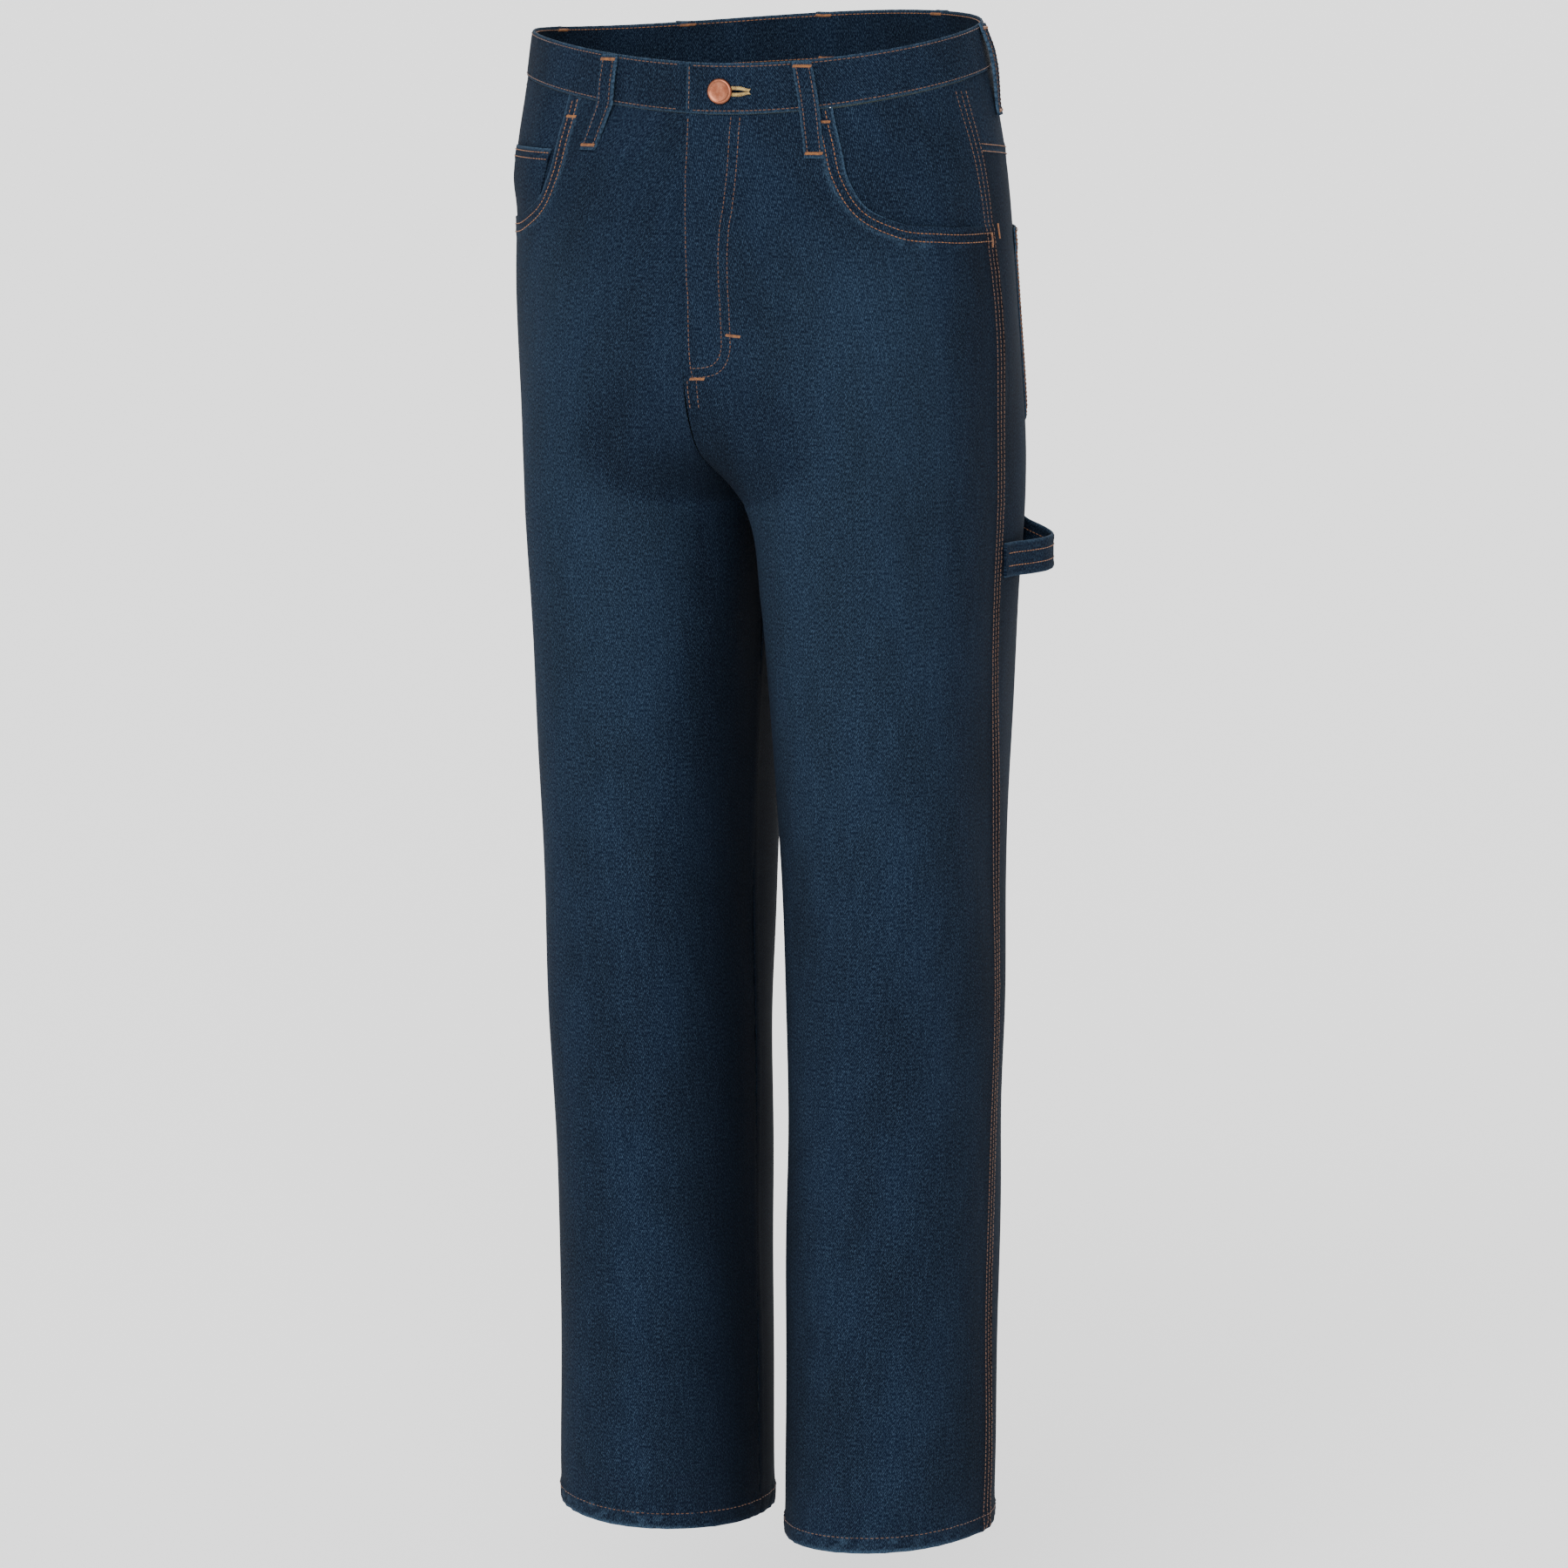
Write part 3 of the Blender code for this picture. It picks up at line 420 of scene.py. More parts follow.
# Colours, linear
DEEP = (0.0009, 0.0022, 0.0062, 1.0)
LIT = (0.0014, 0.0039, 0.0112, 1.0)
PALE = (0.0215, 0.0385, 0.0630, 1.0)
# WORN is the pale of rubbed cloth, and also of the painted light on the thighs
WORN = (0.0340, 0.0620, 0.0980, 1.0)
# DARK is the painted shade at the side seams and inseams, and the darker cloth along the felled seams and
# inside the fly
DARK = (0.0010, 0.0018, 0.0038, 1.0)
REVERSE_DEEP = (0.0250, 0.0330, 0.0320, 1.0)
REVERSE_LIT = (0.0400, 0.0500, 0.0460, 1.0)
REVERSE_PALE = (0.1000, 0.1150, 0.1050, 1.0)
RUST = (0.0950, 0.0400, 0.0190, 1.0)
RUST_DARK = (0.0400, 0.0160, 0.0090, 1.0)
ORANGE = (0.1900, 0.0700, 0.0160, 1.0)
ORANGE_DARK = (0.0850, 0.0290, 0.0085, 1.0)
PALE_THREAD = (0.3400, 0.2350, 0.0750, 1.0)
PALE_THREAD_DARK = (0.1700, 0.1050, 0.0320, 1.0)
COPPER = (0.2700, 0.1050, 0.0600, 1.0)
COPPER_DARK = (0.2000, 0.0650, 0.0350, 1.0)
TWILL_PITCH = 0.0015
TWILL_SLOPE = 0.62
SHEEN_TINT = (0.55, 0.68, 0.90, 1.0)

# Camera and light
CAMERA_AZIMUTH = 23.48
CAMERA_PITCH = 9.07
CAMERA_DISTANCE = 4.209
CAMERA_HEIGHT = 0.164
CAMERA_ASIDE = 0.0219
CAMERA_LENS = 139.48
WORLD_STRENGTH = 1.05
FLOOR_HEIGHT = -1.20
FLOOR_REACH = 400.0
FLOOR_COLOUR = (0.94, 0.94, 0.94, 1.0)
# Soft lamps: azimuth and elevation they shine from, softness, all in degrees, and strength
LAMPS = (
    ("key", 12.0, 20.0, 46.0, 5.2),
    ("back", 196.0, 26.0, 60.0, 3.0),
)


def smooth(low, high, value):
    """Zero up to low, one from high, and an S between them."""
    share = np.clip((np.asarray(value, float) - low) / (high - low), 0.0, 1.0)
    return share * share * (3 - 2 * share)


def section_at(height):
    """The section's values at a height, on smooth curves down the table."""
    table = np.array(SECTIONS)
    depth, rows = -table[:, 0], table[:, 1:]
    wanted = -np.asarray(height, float)
    row = np.clip(np.searchsorted(depth, wanted) - 1, 0, len(depth) - 2)
    step = np.diff(depth)
    slope = np.diff(rows, axis=0) / step[:, None]
    lean = np.empty_like(rows)
    lean[0], lean[-1] = slope[0], slope[-1]
    both = (step[:-1] + step[1:])[:, None]
    lean[1:-1] = (slope[:-1] * step[1:, None] + slope[1:] * step[:-1, None]) / both
    s = np.clip((wanted - depth[row]) / step[row], 0, 1)[..., None]
    d = step[row][..., None]
    return (
        (2 * s**3 - 3 * s**2 + 1) * rows[row]
        + (s**3 - 2 * s**2 + s) * d * lean[row]
        + (3 * s**2 - 2 * s**3) * rows[row + 1]
        + (s**3 - s**2) * d * lean[row + 1]
    )


def ring(values, angle):
    """Plan position on a section: angle 0 is the outer side, a quarter turn the front."""
    inner, outer, front, back, widest, square_in, square_out, turn, _ = np.moveaxis(values, -1, 0)
    cosine, sine = np.cos(angle), np.sin(angle)
    power = 2 / np.where(cosine < 0, square_in, square_out)
    middle, half = (inner + outer) / 2, (outer - inner) / 2
    reach = np.where(sine < 0, back - widest, widest - front)
    across = half * np.sign(cosine) * np.abs(cosine) ** power
    centre = (front + back) / 2
    along = widest - centre - reach * np.sign(sine) * np.abs(sine) ** power
    toe_out = np.radians(turn)
    x = middle + across * np.cos(toe_out) - along * np.sin(toe_out)
    y = centre + across * np.sin(toe_out) + along * np.cos(toe_out)
    return x, y


def rise_angle(values):
    """Where the section meets the middle plane, or half a turn below the crotch."""
    inner, outer, square_in = values[..., 0], values[..., 1], values[..., 5]
    share = ((inner + outer) / 2 - SEAM / 2) / ((outer - inner) / 2)
    return np.pi - np.arccos(np.clip(share, 0, 1) ** (square_in / 2))


def cloth_line(height, face):
    """Close points along a panel at each height, the distance run from the side seam, and angles."""
    values = section_at(height)
    start = np.radians(values[..., 8])
    end = rise_angle(values) * face
    shares = np.linspace(0, 1, LINE_SAMPLES + 1)
    angle = start[..., None] + (end - start)[..., None] * shares
    x, y = ring(values[..., None, :], angle)
    x = np.maximum(x, SEAM / 2)
    steps = np.hypot(np.diff(x), np.diff(y))
    run = np.concatenate([np.zeros(x.shape[:-1] + (1,)), np.cumsum(steps, axis=-1)], axis=-1)
    return x, y, run, angle


def panel_width(height, face):
    return cloth_line(np.asarray(height, float), face)[2][..., -1]


def locate(height, share, face):
    """Points of the left leg's form, and their angles on its sections."""
    height, share = np.broadcast_arrays(np.asarray(height, float), np.asarray(share, float))
    x, y, run, angle = cloth_line(height, face)
    reach = SEAM / 2 + share * (run[..., -1] - SEAM)
    low = np.clip((run <= reach[..., None]).sum(-1) - 1, 0, LINE_SAMPLES - 1)[..., None]

    def ends(values):
        return np.take_along_axis(values, low, -1)[..., 0], np.take_along_axis(values, low + 1, -1)[..., 0]

    run_a, run_b = ends(run)
    s = (reach - run_a) / np.maximum(run_b - run_a, 1e-12)
    x, y, angle = (a + (b - a) * s for a, b in map(ends, (x, y, angle)))
    return np.stack([x, y, height], -1), angle


def on_cloth(height, share, face):
    return locate(height, share, face)[0]


def form(height, angle):
    x, y = ring(section_at(height), angle)
    return np.stack([x, y, height], -1)


def fold_depth(height, share, face, side):
    """How far the broad folds move the cloth."""
    total = np.zeros(np.broadcast(height, share).shape)
    for fold_face, fold_side, at_share, at_height, length, width, lean, depth in FOLDS:
        if (fold_face, fold_side) != (face, side):
            continue
        across = (share - at_share) * panel_width(at_height, face)
        up = height - at_height
        turn = math.radians(lean)
        along = up * math.cos(turn) + across * math.sin(turn)
        aside = across * math.cos(turn) - up * math.sin(turn)
        total = total + depth * np.exp(-((along / length) ** 2) - (aside / width) ** 2)
    return total


def even_share(spread, height, face):
    """Share of the width for a column, so that only the inner columns run out into the crotch."""
    low, high = HOOK_HEIGHTS
    width = panel_width(height, face)
    ends = panel_width(np.array([low, high]), face)
    plain = ends[0] + (ends[1] - ends[0]) * (height - low) / (high - low)
    plain = np.where((height > low) & (height < high), plain, width)
    inner = np.clip((spread - HOOK_START) / (1 - HOOK_START), 0, 1)
    return (spread * plain + (width - plain) * inner) / width


def column_spread(counts):
    """Even columns out to HOOK_START, then closer ones."""
    outer, inner = counts
    return np.concatenate([np.linspace(0, HOOK_START, outer), np.linspace(HOOK_START, 1, inner + 1)[1:]])


def place(height, share, face, side, out):
    """Points of the cloth moved outwards along its normal."""
    height, share = np.broadcast_arrays(np.asarray(height, float), np.asarray(share, float))
    point, angle = locate(height, share, face)
    up = form(height + NORMAL_RISE, angle) - form(height - NORMAL_RISE, angle)
    across = form(height, angle + NORMAL_TURN) - form(height, angle - NORMAL_TURN)
    normal = np.cross(up, across)
    normal /= np.linalg.norm(normal, axis=-1, keepdims=True)
    out = np.asarray(out) + fold_depth(height, share, face, side)
    point = point + normal * np.broadcast_to(out, height.shape)[..., None]
    x = point[..., 0]
    valley = smooth(VALLEY_TOP, VALLEY_FULL, height) * smooth(VALLEY_END, VALLEY_CLOSE, height)
    point[..., 1] -= face * VALLEY_SLOPE * valley * (np.hypot(x, VALLEY_ROUND) - np.abs(x))
    point = point * np.array([side, 1.0, 1.0])
    point[..., 0] += WAIST_SHIFT * smooth(WAIST_SHIFT_END, 0.0, height)
    return point


def rim_height(x, y):
    """Height of the waistband's top edge at a plan position."""
    angle = np.arctan2(y / HALF_DEPTH, x / HALF_WIDTH)
    return sum(c * np.cos(n * angle) + s * np.sin(n * angle) for n, c, s in RIM_WAVES)


def seam_height(x, y):
    """Height of the seam between the waistband and the panels."""
    angle = np.arctan2(y / HALF_DEPTH, x / HALF_WIDTH)
    return rim_height(x, y) - BAND_HEIGHT + BAND_SIDE_LOSS * np.cos(angle) ** 2


def height_on(edge, share, face, side):
    """Height of a waist edge where a share of the panel's width meets it."""
    height = np.full(np.shape(share), -0.02)
    for _ in range(4):
        point = on_cloth(height, share, face)
        height = edge(side * point[..., 0], point[..., 1])
    return height


def hem_height(share, face):
    """Height of the hem, which lies higher on the outer side."""
    point = on_cloth(np.full(np.shape(share), HEM_HEIGHT), share, face)
    values = section_at(HEM_HEIGHT)
    middle, half = (values[0] + values[1]) / 2, (values[1] - values[0]) / 2
    return HEM_HEIGHT + HEM_TILT * (point[..., 0] - middle) / half


def share_from_rise(height, distance, face):
    return 1 - distance / panel_width(height, face)


def share_from_side(height, distance, face):
    return distance / panel_width(height, face)


def curve_through(points, count):
    """Evenly spaced points on a smooth curve through some points, and the distance run at each."""
    points = np.asarray(points, float)
    spread = np.concatenate([[0], np.cumsum(np.linalg.norm(np.diff(points, axis=0), axis=1))])
    even = np.linspace(0, spread[-1], count)
    slope = np.gradient(points, spread, axis=0)
    row = np.clip(np.searchsorted(spread, even, side="right") - 1, 0, len(spread) - 2)
    d = (spread[row + 1] - spread[row])[:, None]
    s = (even - spread[row])[:, None] / d
    curve = (
        (2 * s**3 - 3 * s**2 + 1) * points[row]
        + (s**3 - 2 * s**2 + s) * d * slope[row]
        + (3 * s**2 - 2 * s**3) * points[row + 1]
        + (s**3 - s**2) * d * slope[row + 1]
    )
    return curve, even


def scoop_curve(count, side):
    """Evenly spaced points of the pocket mouth: distance from the side seam, and height."""
    points, _ = curve_through(SCOOP, count)
    waist = float(height_on(seam_height, np.array([0.0]), FRONT, side)[0])
    return points[:, 0], waist - points[:, 1]


def fly_amount(height, limits):
    """One beside the fly, falling to zero between the two heights."""
    return smooth(limits[1], limits[0], height)


def yoke_line(share):
    return YOKE_SIDE + (YOKE_MIDDLE - YOKE_SIDE) * share


def inside_mouth(distance, height, side):
    """How far inside the pocket mouth a place lies, or zero behind the front panel."""
    at, mouth = scoop_curve(MOUTH_SAMPLES, side)
    turn = int(np.argmax(at))
    above_edge = height > np.interp(distance, at[turn:][::-1], mouth[turn:][::-1])
    outside_edge = distance < np.interp(height, mouth[: turn + 1][::-1], at[: turn + 1][::-1])
    gap = np.hypot(distance[..., None] - at, height[..., None] - mouth).min(-1)
    return np.where(above_edge & outside_edge, gap, 0.0)


def facing_depth(distance, height, side):
    """Where the facing's outer face lies: behind the front panel, and level with the side seam."""
    return -UNDER * (1 - smooth(FACING_MARGIN / 3, FACING_RISE, inside_mouth(distance, height, side)))


def unit(vectors):
    return vectors / np.maximum(np.linalg.norm(vectors, axis=-1, keepdims=True), 1e-12)


def ridge(distance, low, high, soften):
    """One between two distances, and zero outside them."""
    return smooth(low - soften, low, distance) * (1 - smooth(high, high + soften, distance))


def ripple(along, wavelength, seed):
    """An uneven wave along a seam."""
    turns = 2 * np.pi * along / wavelength
    drift = np.sin(turns / 4.3 + seed) + 0.6 * np.sin(turns / 2.7 + 2 * seed)
    return np.sin(turns + 1.3 * drift) * (0.65 + 0.35 * np.sin(turns / 3.1 + 3 * seed))


def scoop_distance(height, from_side, side):
    """Distance of a place from the edge of the front pocket's mouth."""
    at, mouth = scoop_curve(MOUTH_SAMPLES, side)
    gap = np.full(np.shape(height), 1.0)
    for x, z in zip(at, mouth):
        gap = np.minimum(gap, np.hypot(from_side - x, height - z))
    return gap


def j_distance(height, from_rise):
    """Distance of a place from the fly's curved line of stitches."""
    gap = np.full(np.shape(height), 1.0)
    for x, z in zip(*j_line(24, 0.0)):
        gap = np.minimum(gap, np.hypot(from_rise - x, height - z))
    return gap


def j_line(count, inset):
    """The fly's curved line: distance from the rise seam, and height. inset moves it towards the seam."""
    x, z = curve_through(J_LINE, count)[0].T
    dx, dz = np.gradient(x), np.gradient(z)
    length = np.hypot(dx, dz)
    return x + inset * dz / length, z - inset * dx / length


def cloth_seed(face, side):
    """Sets the waves of each panel apart from the others'."""
    return 1.7 * face + 0.6 * side


def pucker(kind, along, distance, seed):
    """Uneven waves along a seam, which die out away from it."""
    depth, length, reach = kind
    return depth * ripple(along, length, seed) * np.exp(-((distance / reach) ** 2))


def raised(kind, distance):
    """A raised strip of layers beside a seam."""
    lift, flat, end = kind
    return lift * (1 - smooth(flat, end, distance))


def relief(height, share, face, side):
    """Fine folds, seam ridges and puckers of the cloth, outwards."""
    height, share = np.broadcast_arrays(np.asarray(height, float), np.asarray(share, float))
    width = panel_width(height, face)
    from_side, from_in = share * width, (1 - share) * width
    seed = cloth_seed(face, side)
    out = np.zeros(height.shape)
    for wavelength_side, wavelength_up, amount, phase in SWELLS:
        turn = from_side / wavelength_side + height / wavelength_up
        out += amount * np.sin(2 * np.pi * turn + phase + SWELL_SEED * seed)
    # Side seam, inseam and rise
    reach = SIDE_REACH[face]
    below_mouth = 1.0 if face == BACK else smooth(*SIDE_RIDGE_START, height)
    out += raised((SIDE_RIDGE, reach, reach + SIDE_SLOPE), from_side) * below_mouth
    out += pucker(SIDE_PUCKER, height, from_side, seed) * below_mouth
    leg = smooth(*LEG_RIDGE_START, height)
    out += leg * (raised(INSEAM_RIDGE, from_in) + pucker(INSEAM_PUCKER, height, from_in, seed + 1))
    if face == BACK:
        out += (1 - leg) * (raised(RISE_RIDGE, from_in) + pucker(RISE_PUCKER, height, from_in, seed + 2))
    # Below the waistband, and at the hem
    point = on_cloth(height, share, face)
    below = seam_height(side * point[..., 0], point[..., 1]) - height
    out += pucker(WAIST_PUCKER, from_side, below, seed + 3)
    above = height - hem_height(share, face)
    out += raised(HEM_RIDGE, above)
    roping = ripple(from_side + HEM_PUCKER_SLANT * above, HEM_PUCKER_LENGTH, seed + 4)
    out += HEM_PUCKER * roping * (1 - smooth(HEM_DEPTH, HEM_DEPTH + HEM_PUCKER_REACH, above))
    # Pocket mouth and fly in front, yoke behind
    if face == FRONT:
        edge = scoop_distance(height, from_side, side)
        out += raised(SCOOP_RIDGE, edge) + pucker(SCOOP_PUCKER, from_side + height, edge, seed + 5)
        return out + fly_relief(height, from_in, side)
    line = height - yoke_line(share)
    out = out + YOKE_RIDGE * ridge(line, *YOKE_RIDGE_LIMITS)
    return out + pucker(YOKE_PUCKER, from_side, line, seed + 6)


def fly_relief(height, from_in, side):
    """The fly's thick facing and its creases."""
    if side == RIGHT:
        creases = pucker(UNDERLAP_PUCKER, height, from_in - UNDERLAP_PUCKER_AT, 4.0)
        return creases * fly_amount(height, UNDERLAP_END)
    inside = (1 - smooth(*FLY_WIDTH, from_in)) * fly_amount(height, FLY_FOOT)
    depth, length = FLY_CREASE
    creases = FLY_RIDGE + depth * ripple(height + 0.3 * from_in, length, 0.4)
    return pucker(FLY_PUCKER, height, j_distance(height, from_in), 2.0) + creases * inside


def front_out(height, share, side):
    """How far the front panel lies off the form beside the fly."""
    from_rise = (1 - share) * panel_width(height, FRONT)
    if side == LEFT:
        lift = FLY_LIFT * (1 - smooth(FLY_FLAT, FLY_RAMP, from_rise))
    else:
        lift = -FLY_SINK * (1 - smooth(FLY_UNDER_FLAT, FLY_UNDER_RAMP, from_rise))
    return lift * fly_amount(height, FLY_LIFT_END)


# Meshes


def grid_faces(rows, columns, start):
    i, j = np.meshgrid(np.arange(rows - 1), np.arange(columns - 1), indexing="ij")
    a = (start + i * columns + j).ravel()
    return np.stack([a, a + 1, a + columns + 1, a + columns], 1)


def shell(name, outer, inner, uv, wear_and_painted_light_and_shade, face_look, reverse_look):
    """A thin closed cloth: its outer and inner grids of points, a map in metres, and wear from 0 to 1,
    which also carries painted light on the thighs and, below zero, painted shade.
    """
    rows, columns = outer.shape[:2]
    count = rows * columns
    top = grid_faces(rows, columns, 0)
    under = grid_faces(rows, columns, count)[:, ::-1]
    index = np.arange(count).reshape(rows, columns)
    loop = np.concatenate([index[0, :-1], index[:-1, -1], index[-1, :0:-1], index[:0:-1, 0]])
    ahead = np.roll(loop, -1)
    rim = np.stack([ahead, loop, loop + count, ahead + count], 1)
    faces = np.concatenate([top, under, rim])
    points = np.concatenate([outer.reshape(-1, 3), inner.reshape(-1, 3)])
    a, b, c = (points[faces[:, k]] for k in range(3))
    volume = (np.cross(a, b) * c).sum() + (np.cross(a, c) * points[faces[:, 3]]).sum()
    if volume < 0:
        faces = faces[:, ::-1]
    mesh = bpy.data.meshes.new(name)
    mesh.from_pydata(points.tolist(), [], faces.tolist())
    flat = np.concatenate([uv.reshape(-1, 2)] * 2)
    layer = mesh.uv_layers.new(name="UVMap")
    layer.data.foreach_set("uv", flat[faces.ravel()].astype(np.float32).ravel())
    worn = mesh.attributes.new("wear_and_painted_light_and_shade", "FLOAT", "POINT")
    worn.data.foreach_set("value", np.concatenate([wear_and_painted_light_and_shade.ravel()] * 2).astype(np.float32))
    mesh.materials.append(face_look)
    mesh.materials.append(reverse_look)
    slots = np.zeros(len(faces), np.int32)
    slots[len(top) : len(top) + len(under)] = 1
    mesh.polygons.foreach_set("material_index", slots)
    mesh.update()
    return add_piece(name, mesh)


def add_piece(name, mesh, sharp=40):
    mesh.shade_smooth()
    mesh.set_sharp_from_angle(angle=math.radians(sharp))
    obj = bpy.data.objects.new(name, mesh)
    bpy.context.scene.collection.objects.link(obj)
    return obj


def finish_piece(obj, slot, *nodes):
    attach(obj, "root")
    if nodes:
        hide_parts(*nodes)
    return obj


def cloth_uv(height, share, face, side):
    """Map in metres: across the cloth from the side seam, and up it."""
    return np.stack([-share * panel_width(height, face) * side * face, height], -1)


def rolled(out, thickness, amount):
    """Outer and inner offsets with the cut edges rounded off."""
    pull = np.zeros(out.shape)
    for k, share in enumerate((1.0, 0.35)):
        for line in (pull[k], pull[-1 - k], pull[:, k], pull[:, -1 - k]):
            np.maximum(line, share, out=line)
    return out - pull * amount, out - thickness + pull * amount


def cloth_piece(name, height, share, face, side, offsets, wear_and_painted_light_and_shade, looks):
    """A cloth between two distances from the form, on a grid of heights and shares."""
    outer, inner = (place(height, share, face, side, out) for out in offsets)
    return shell(name + "_cloth", outer, inner, cloth_uv(height, share, face, side), wear_and_painted_light_and_shade, *looks)


def panel_cloth(name, height, share, face, side, out, wear_and_painted_light_and_shade, looks):
    """A panel's cloth, which is thicker at its hem, paler at the thigh as wash fade and painted light,
    darker along its felled seam, and darker towards its side seam and inseam as painted shade.
    """
    wall = CLOTH + (HEM_WALL - CLOTH) * smooth(*HEM_THICKENS, height)
    # The painted light on the thighs and the painted shade at the seams and inseam join the wear value here
    wear_and_painted_light_and_shade = np.maximum(wear_and_painted_light_and_shade, thigh_fade_and_painted_light(height, share, face)) + seam_dark_and_painted_shade(height, share, face)
    offsets = rolled(out, wall, PANEL_EDGE[face])
    return cloth_piece(f"{name}_{SIDE_NAMES[side]}", height, share, face, side, offsets, wear_and_painted_light_and_shade, looks)


def edge_wear(*distances, reach=EDGE_REACH):
    """Wear that fades away from the nearest of some edges."""
    nearest = np.minimum.reduce([np.abs(d) for d in distances])
    return np.exp(-((nearest / reach) ** 2))


# Panels


def fine_leg_rows(first, spread, face):
    """Close rows from the first one, given at the side seam and the rise, down to the hem."""
    top = HEM_HEIGHT + HEM_DEPTH + HEM_FOLD
    table = np.array([first, *UPPER_ROWS, (LEG_ROW_TOP, LEG_ROW_TOP), (top, top)])
    run = np.concatenate([[0], np.cumsum(np.abs(np.diff(table.mean(1))))])
    even = np.linspace(0, run[-1], int(run[-1] / ROW_STEP))
    at_side = np.interp(even, run, table[:, 0])[:, None]
    at_in = np.interp(even, run, table[:, 1])[:, None]
    rows = at_side + (at_in - at_side) * spread
    tilt = hem_height(spread, face) - HEM_HEIGHT
    rows = rows + tilt * smooth(HEM_HEIGHT + 0.10, top, rows)
    hem = np.linspace(top, HEM_HEIGHT, HEM_FINE_ROWS)[1:, None] + tilt
    return np.concatenate([rows, hem])


def front_panel(side, looks):
    spread = column_spread(FINE_FRONT)
    distance, mouth = scoop_curve(FINE_SCOOP_ROWS, side)
    middle_top = float(height_on(seam_height, np.array([1.0]), FRONT, side)[0])
    middle = np.linspace(middle_top, SCOOP_MIDDLE_END, FINE_SCOOP_ROWS)
    upper = mouth[:, None] + (middle - mouth)[:, None] * spread
    legs = fine_leg_rows((mouth[-1], SCOOP_MIDDLE_END), spread, FRONT)[1:]
    height = np.concatenate([upper, legs])
    start = np.concatenate([share_from_side(mouth, distance, FRONT), np.zeros(len(legs))])[:, None]
    share = start + (1 - start) * spread
    share[FINE_SCOOP_ROWS:] = even_share(share[FINE_SCOOP_ROWS:], legs, FRONT)
    width = panel_width(height, FRONT)
    if side == RIGHT:
        lap = FLY_LAP * fly_amount(height[:, -1], FLY_LAP_END)[:, None]
        share = share + lap / width * smooth(LAP_COLUMNS, 1.0, spread)
    easing = np.linspace(1, 0, FINE_SCOOP_ROWS)[:, None] ** 2
    top = height_on(seam_height, share[0], FRONT, side) - BAND_GAP / 2
    height[:FINE_SCOOP_ROWS] += easing * (top - height[0])
    out = front_out(height, share, side) + relief(height, share, FRONT, side)
    from_mouth = np.where(height > mouth[-1], (share - start) * width, 1.0)
    from_row = scoop_distance(height, share * width, side) - SCOOP_WEAR_AT
    mouth_wear = MOUTH_WEAR * edge_wear(from_mouth)
    row_wear = SCOOP_WEAR * edge_wear(from_row, reach=RIDGE_REACH)
    wear_and_painted_light_and_shade = np.maximum.reduce([mouth_wear, row_wear, panel_wear(height, share, FRONT, side)])
    if side == LEFT:
        line = (1 - share) * width
        inside_fly = fly_amount(height, FLY_DARK_END) * (1 - smooth(*FLY_DARK_WIDTH, line))
        rubbed = FLY_WEAR * edge_wear(line) * fly_amount(height, FLY_FOOT)
        wear_and_painted_light_and_shade = np.maximum(wear_and_painted_light_and_shade, rubbed) - FLY_DARK * inside_fly
    return panel_cloth("front_panel", height, share, FRONT, side, out, wear_and_painted_light_and_shade, looks)


def panel_wear(height, share, face, side):
    """Rubbed cloth at the hem and along the side seam."""
    hem_edge = HEM_EDGE_WEAR * edge_wear(height - hem_height(share, face), reach=HEM_REACH)
    from_ridge = share * panel_width(height, face) - SIDE_REACH[face]
    dashes = 0.5 + 0.5 * ripple(height, SIDE_PUCKER[1], 0.8)
    seam = SEAM_WEAR[face] * dashes * edge_wear(from_ridge, reach=SEAM_REACH)
    return np.maximum.reduce([hem_edge, hem_wear(height, share, face, side), seam])


def thigh_fade_and_painted_light(height, share, face):
    """Paler thighs, partly as garment washing leaves them and partly painted light where the light falls on
    the front of each leg.
    """
    across = np.exp(-(((share - THIGH_MIDDLE[face]) / THIGH_FADE_AND_LIGHT_WIDTH) ** 2))
    return THIGH_FADE_AND_PAINTED_LIGHT * across * smooth(-0.70, -0.35, height) * smooth(-0.08, -0.16, height)


def seam_dark_and_painted_shade(height, share, face):
    """Darker cloth: a dark line where the layers of a felled seam lie, partly their indigo and partly
    painted shade of the ridge, and painted shade towards the side seam and on the inseam side of the leg.
    """
    width = panel_width(height, face)
    from_side, from_in = share * width, (1 - share) * width
    reach = SIDE_REACH[face]
    below_mouth = 1.0 if face == BACK else smooth(-0.112, -0.118, height)
    # Dark line on the felled seam's layers: partly the cloth's own indigo, partly painted shade of the seam
    # ridge
    layers = RIDGE_DARK_AND_PAINTED_SHADE * (1 - smooth(reach - 0.001, reach + 0.003, from_side))
    # Painted shade on the side of the leg, which turns away from the light
    side_way = SIDE_PAINTED_SHADE * (1 - smooth(*SIDE_PAINTED_SHADE_REACH, from_side))
    leg = smooth(-0.200, -0.330, height)
    # Painted shade on the inner side of the leg, where less light falls between the legs
    inseam = INSEAM_PAINTED_SHADE * leg * (1 - smooth(*INSEAM_PAINTED_SHADE_REACH, from_in))
    return -np.minimum((layers + side_way) * below_mouth + inseam, MOST_PAINTED_SHADE)


def hem_wear(height, share, face, side):
    """Rubbed tops of the hem's slanted puckers."""
    above = height - hem_height(share, face)
    along = share * panel_width(height, face) + HEM_PUCKER_SLANT * above
    peaks = np.clip(ripple(along, HEM_PUCKER_LENGTH, cloth_seed(face, side) + 4), 0, 1)
    return HEM_PUCKER_WEAR * peaks * (1 - smooth(HEM_DEPTH - 0.002, HEM_DEPTH + 0.002, above))


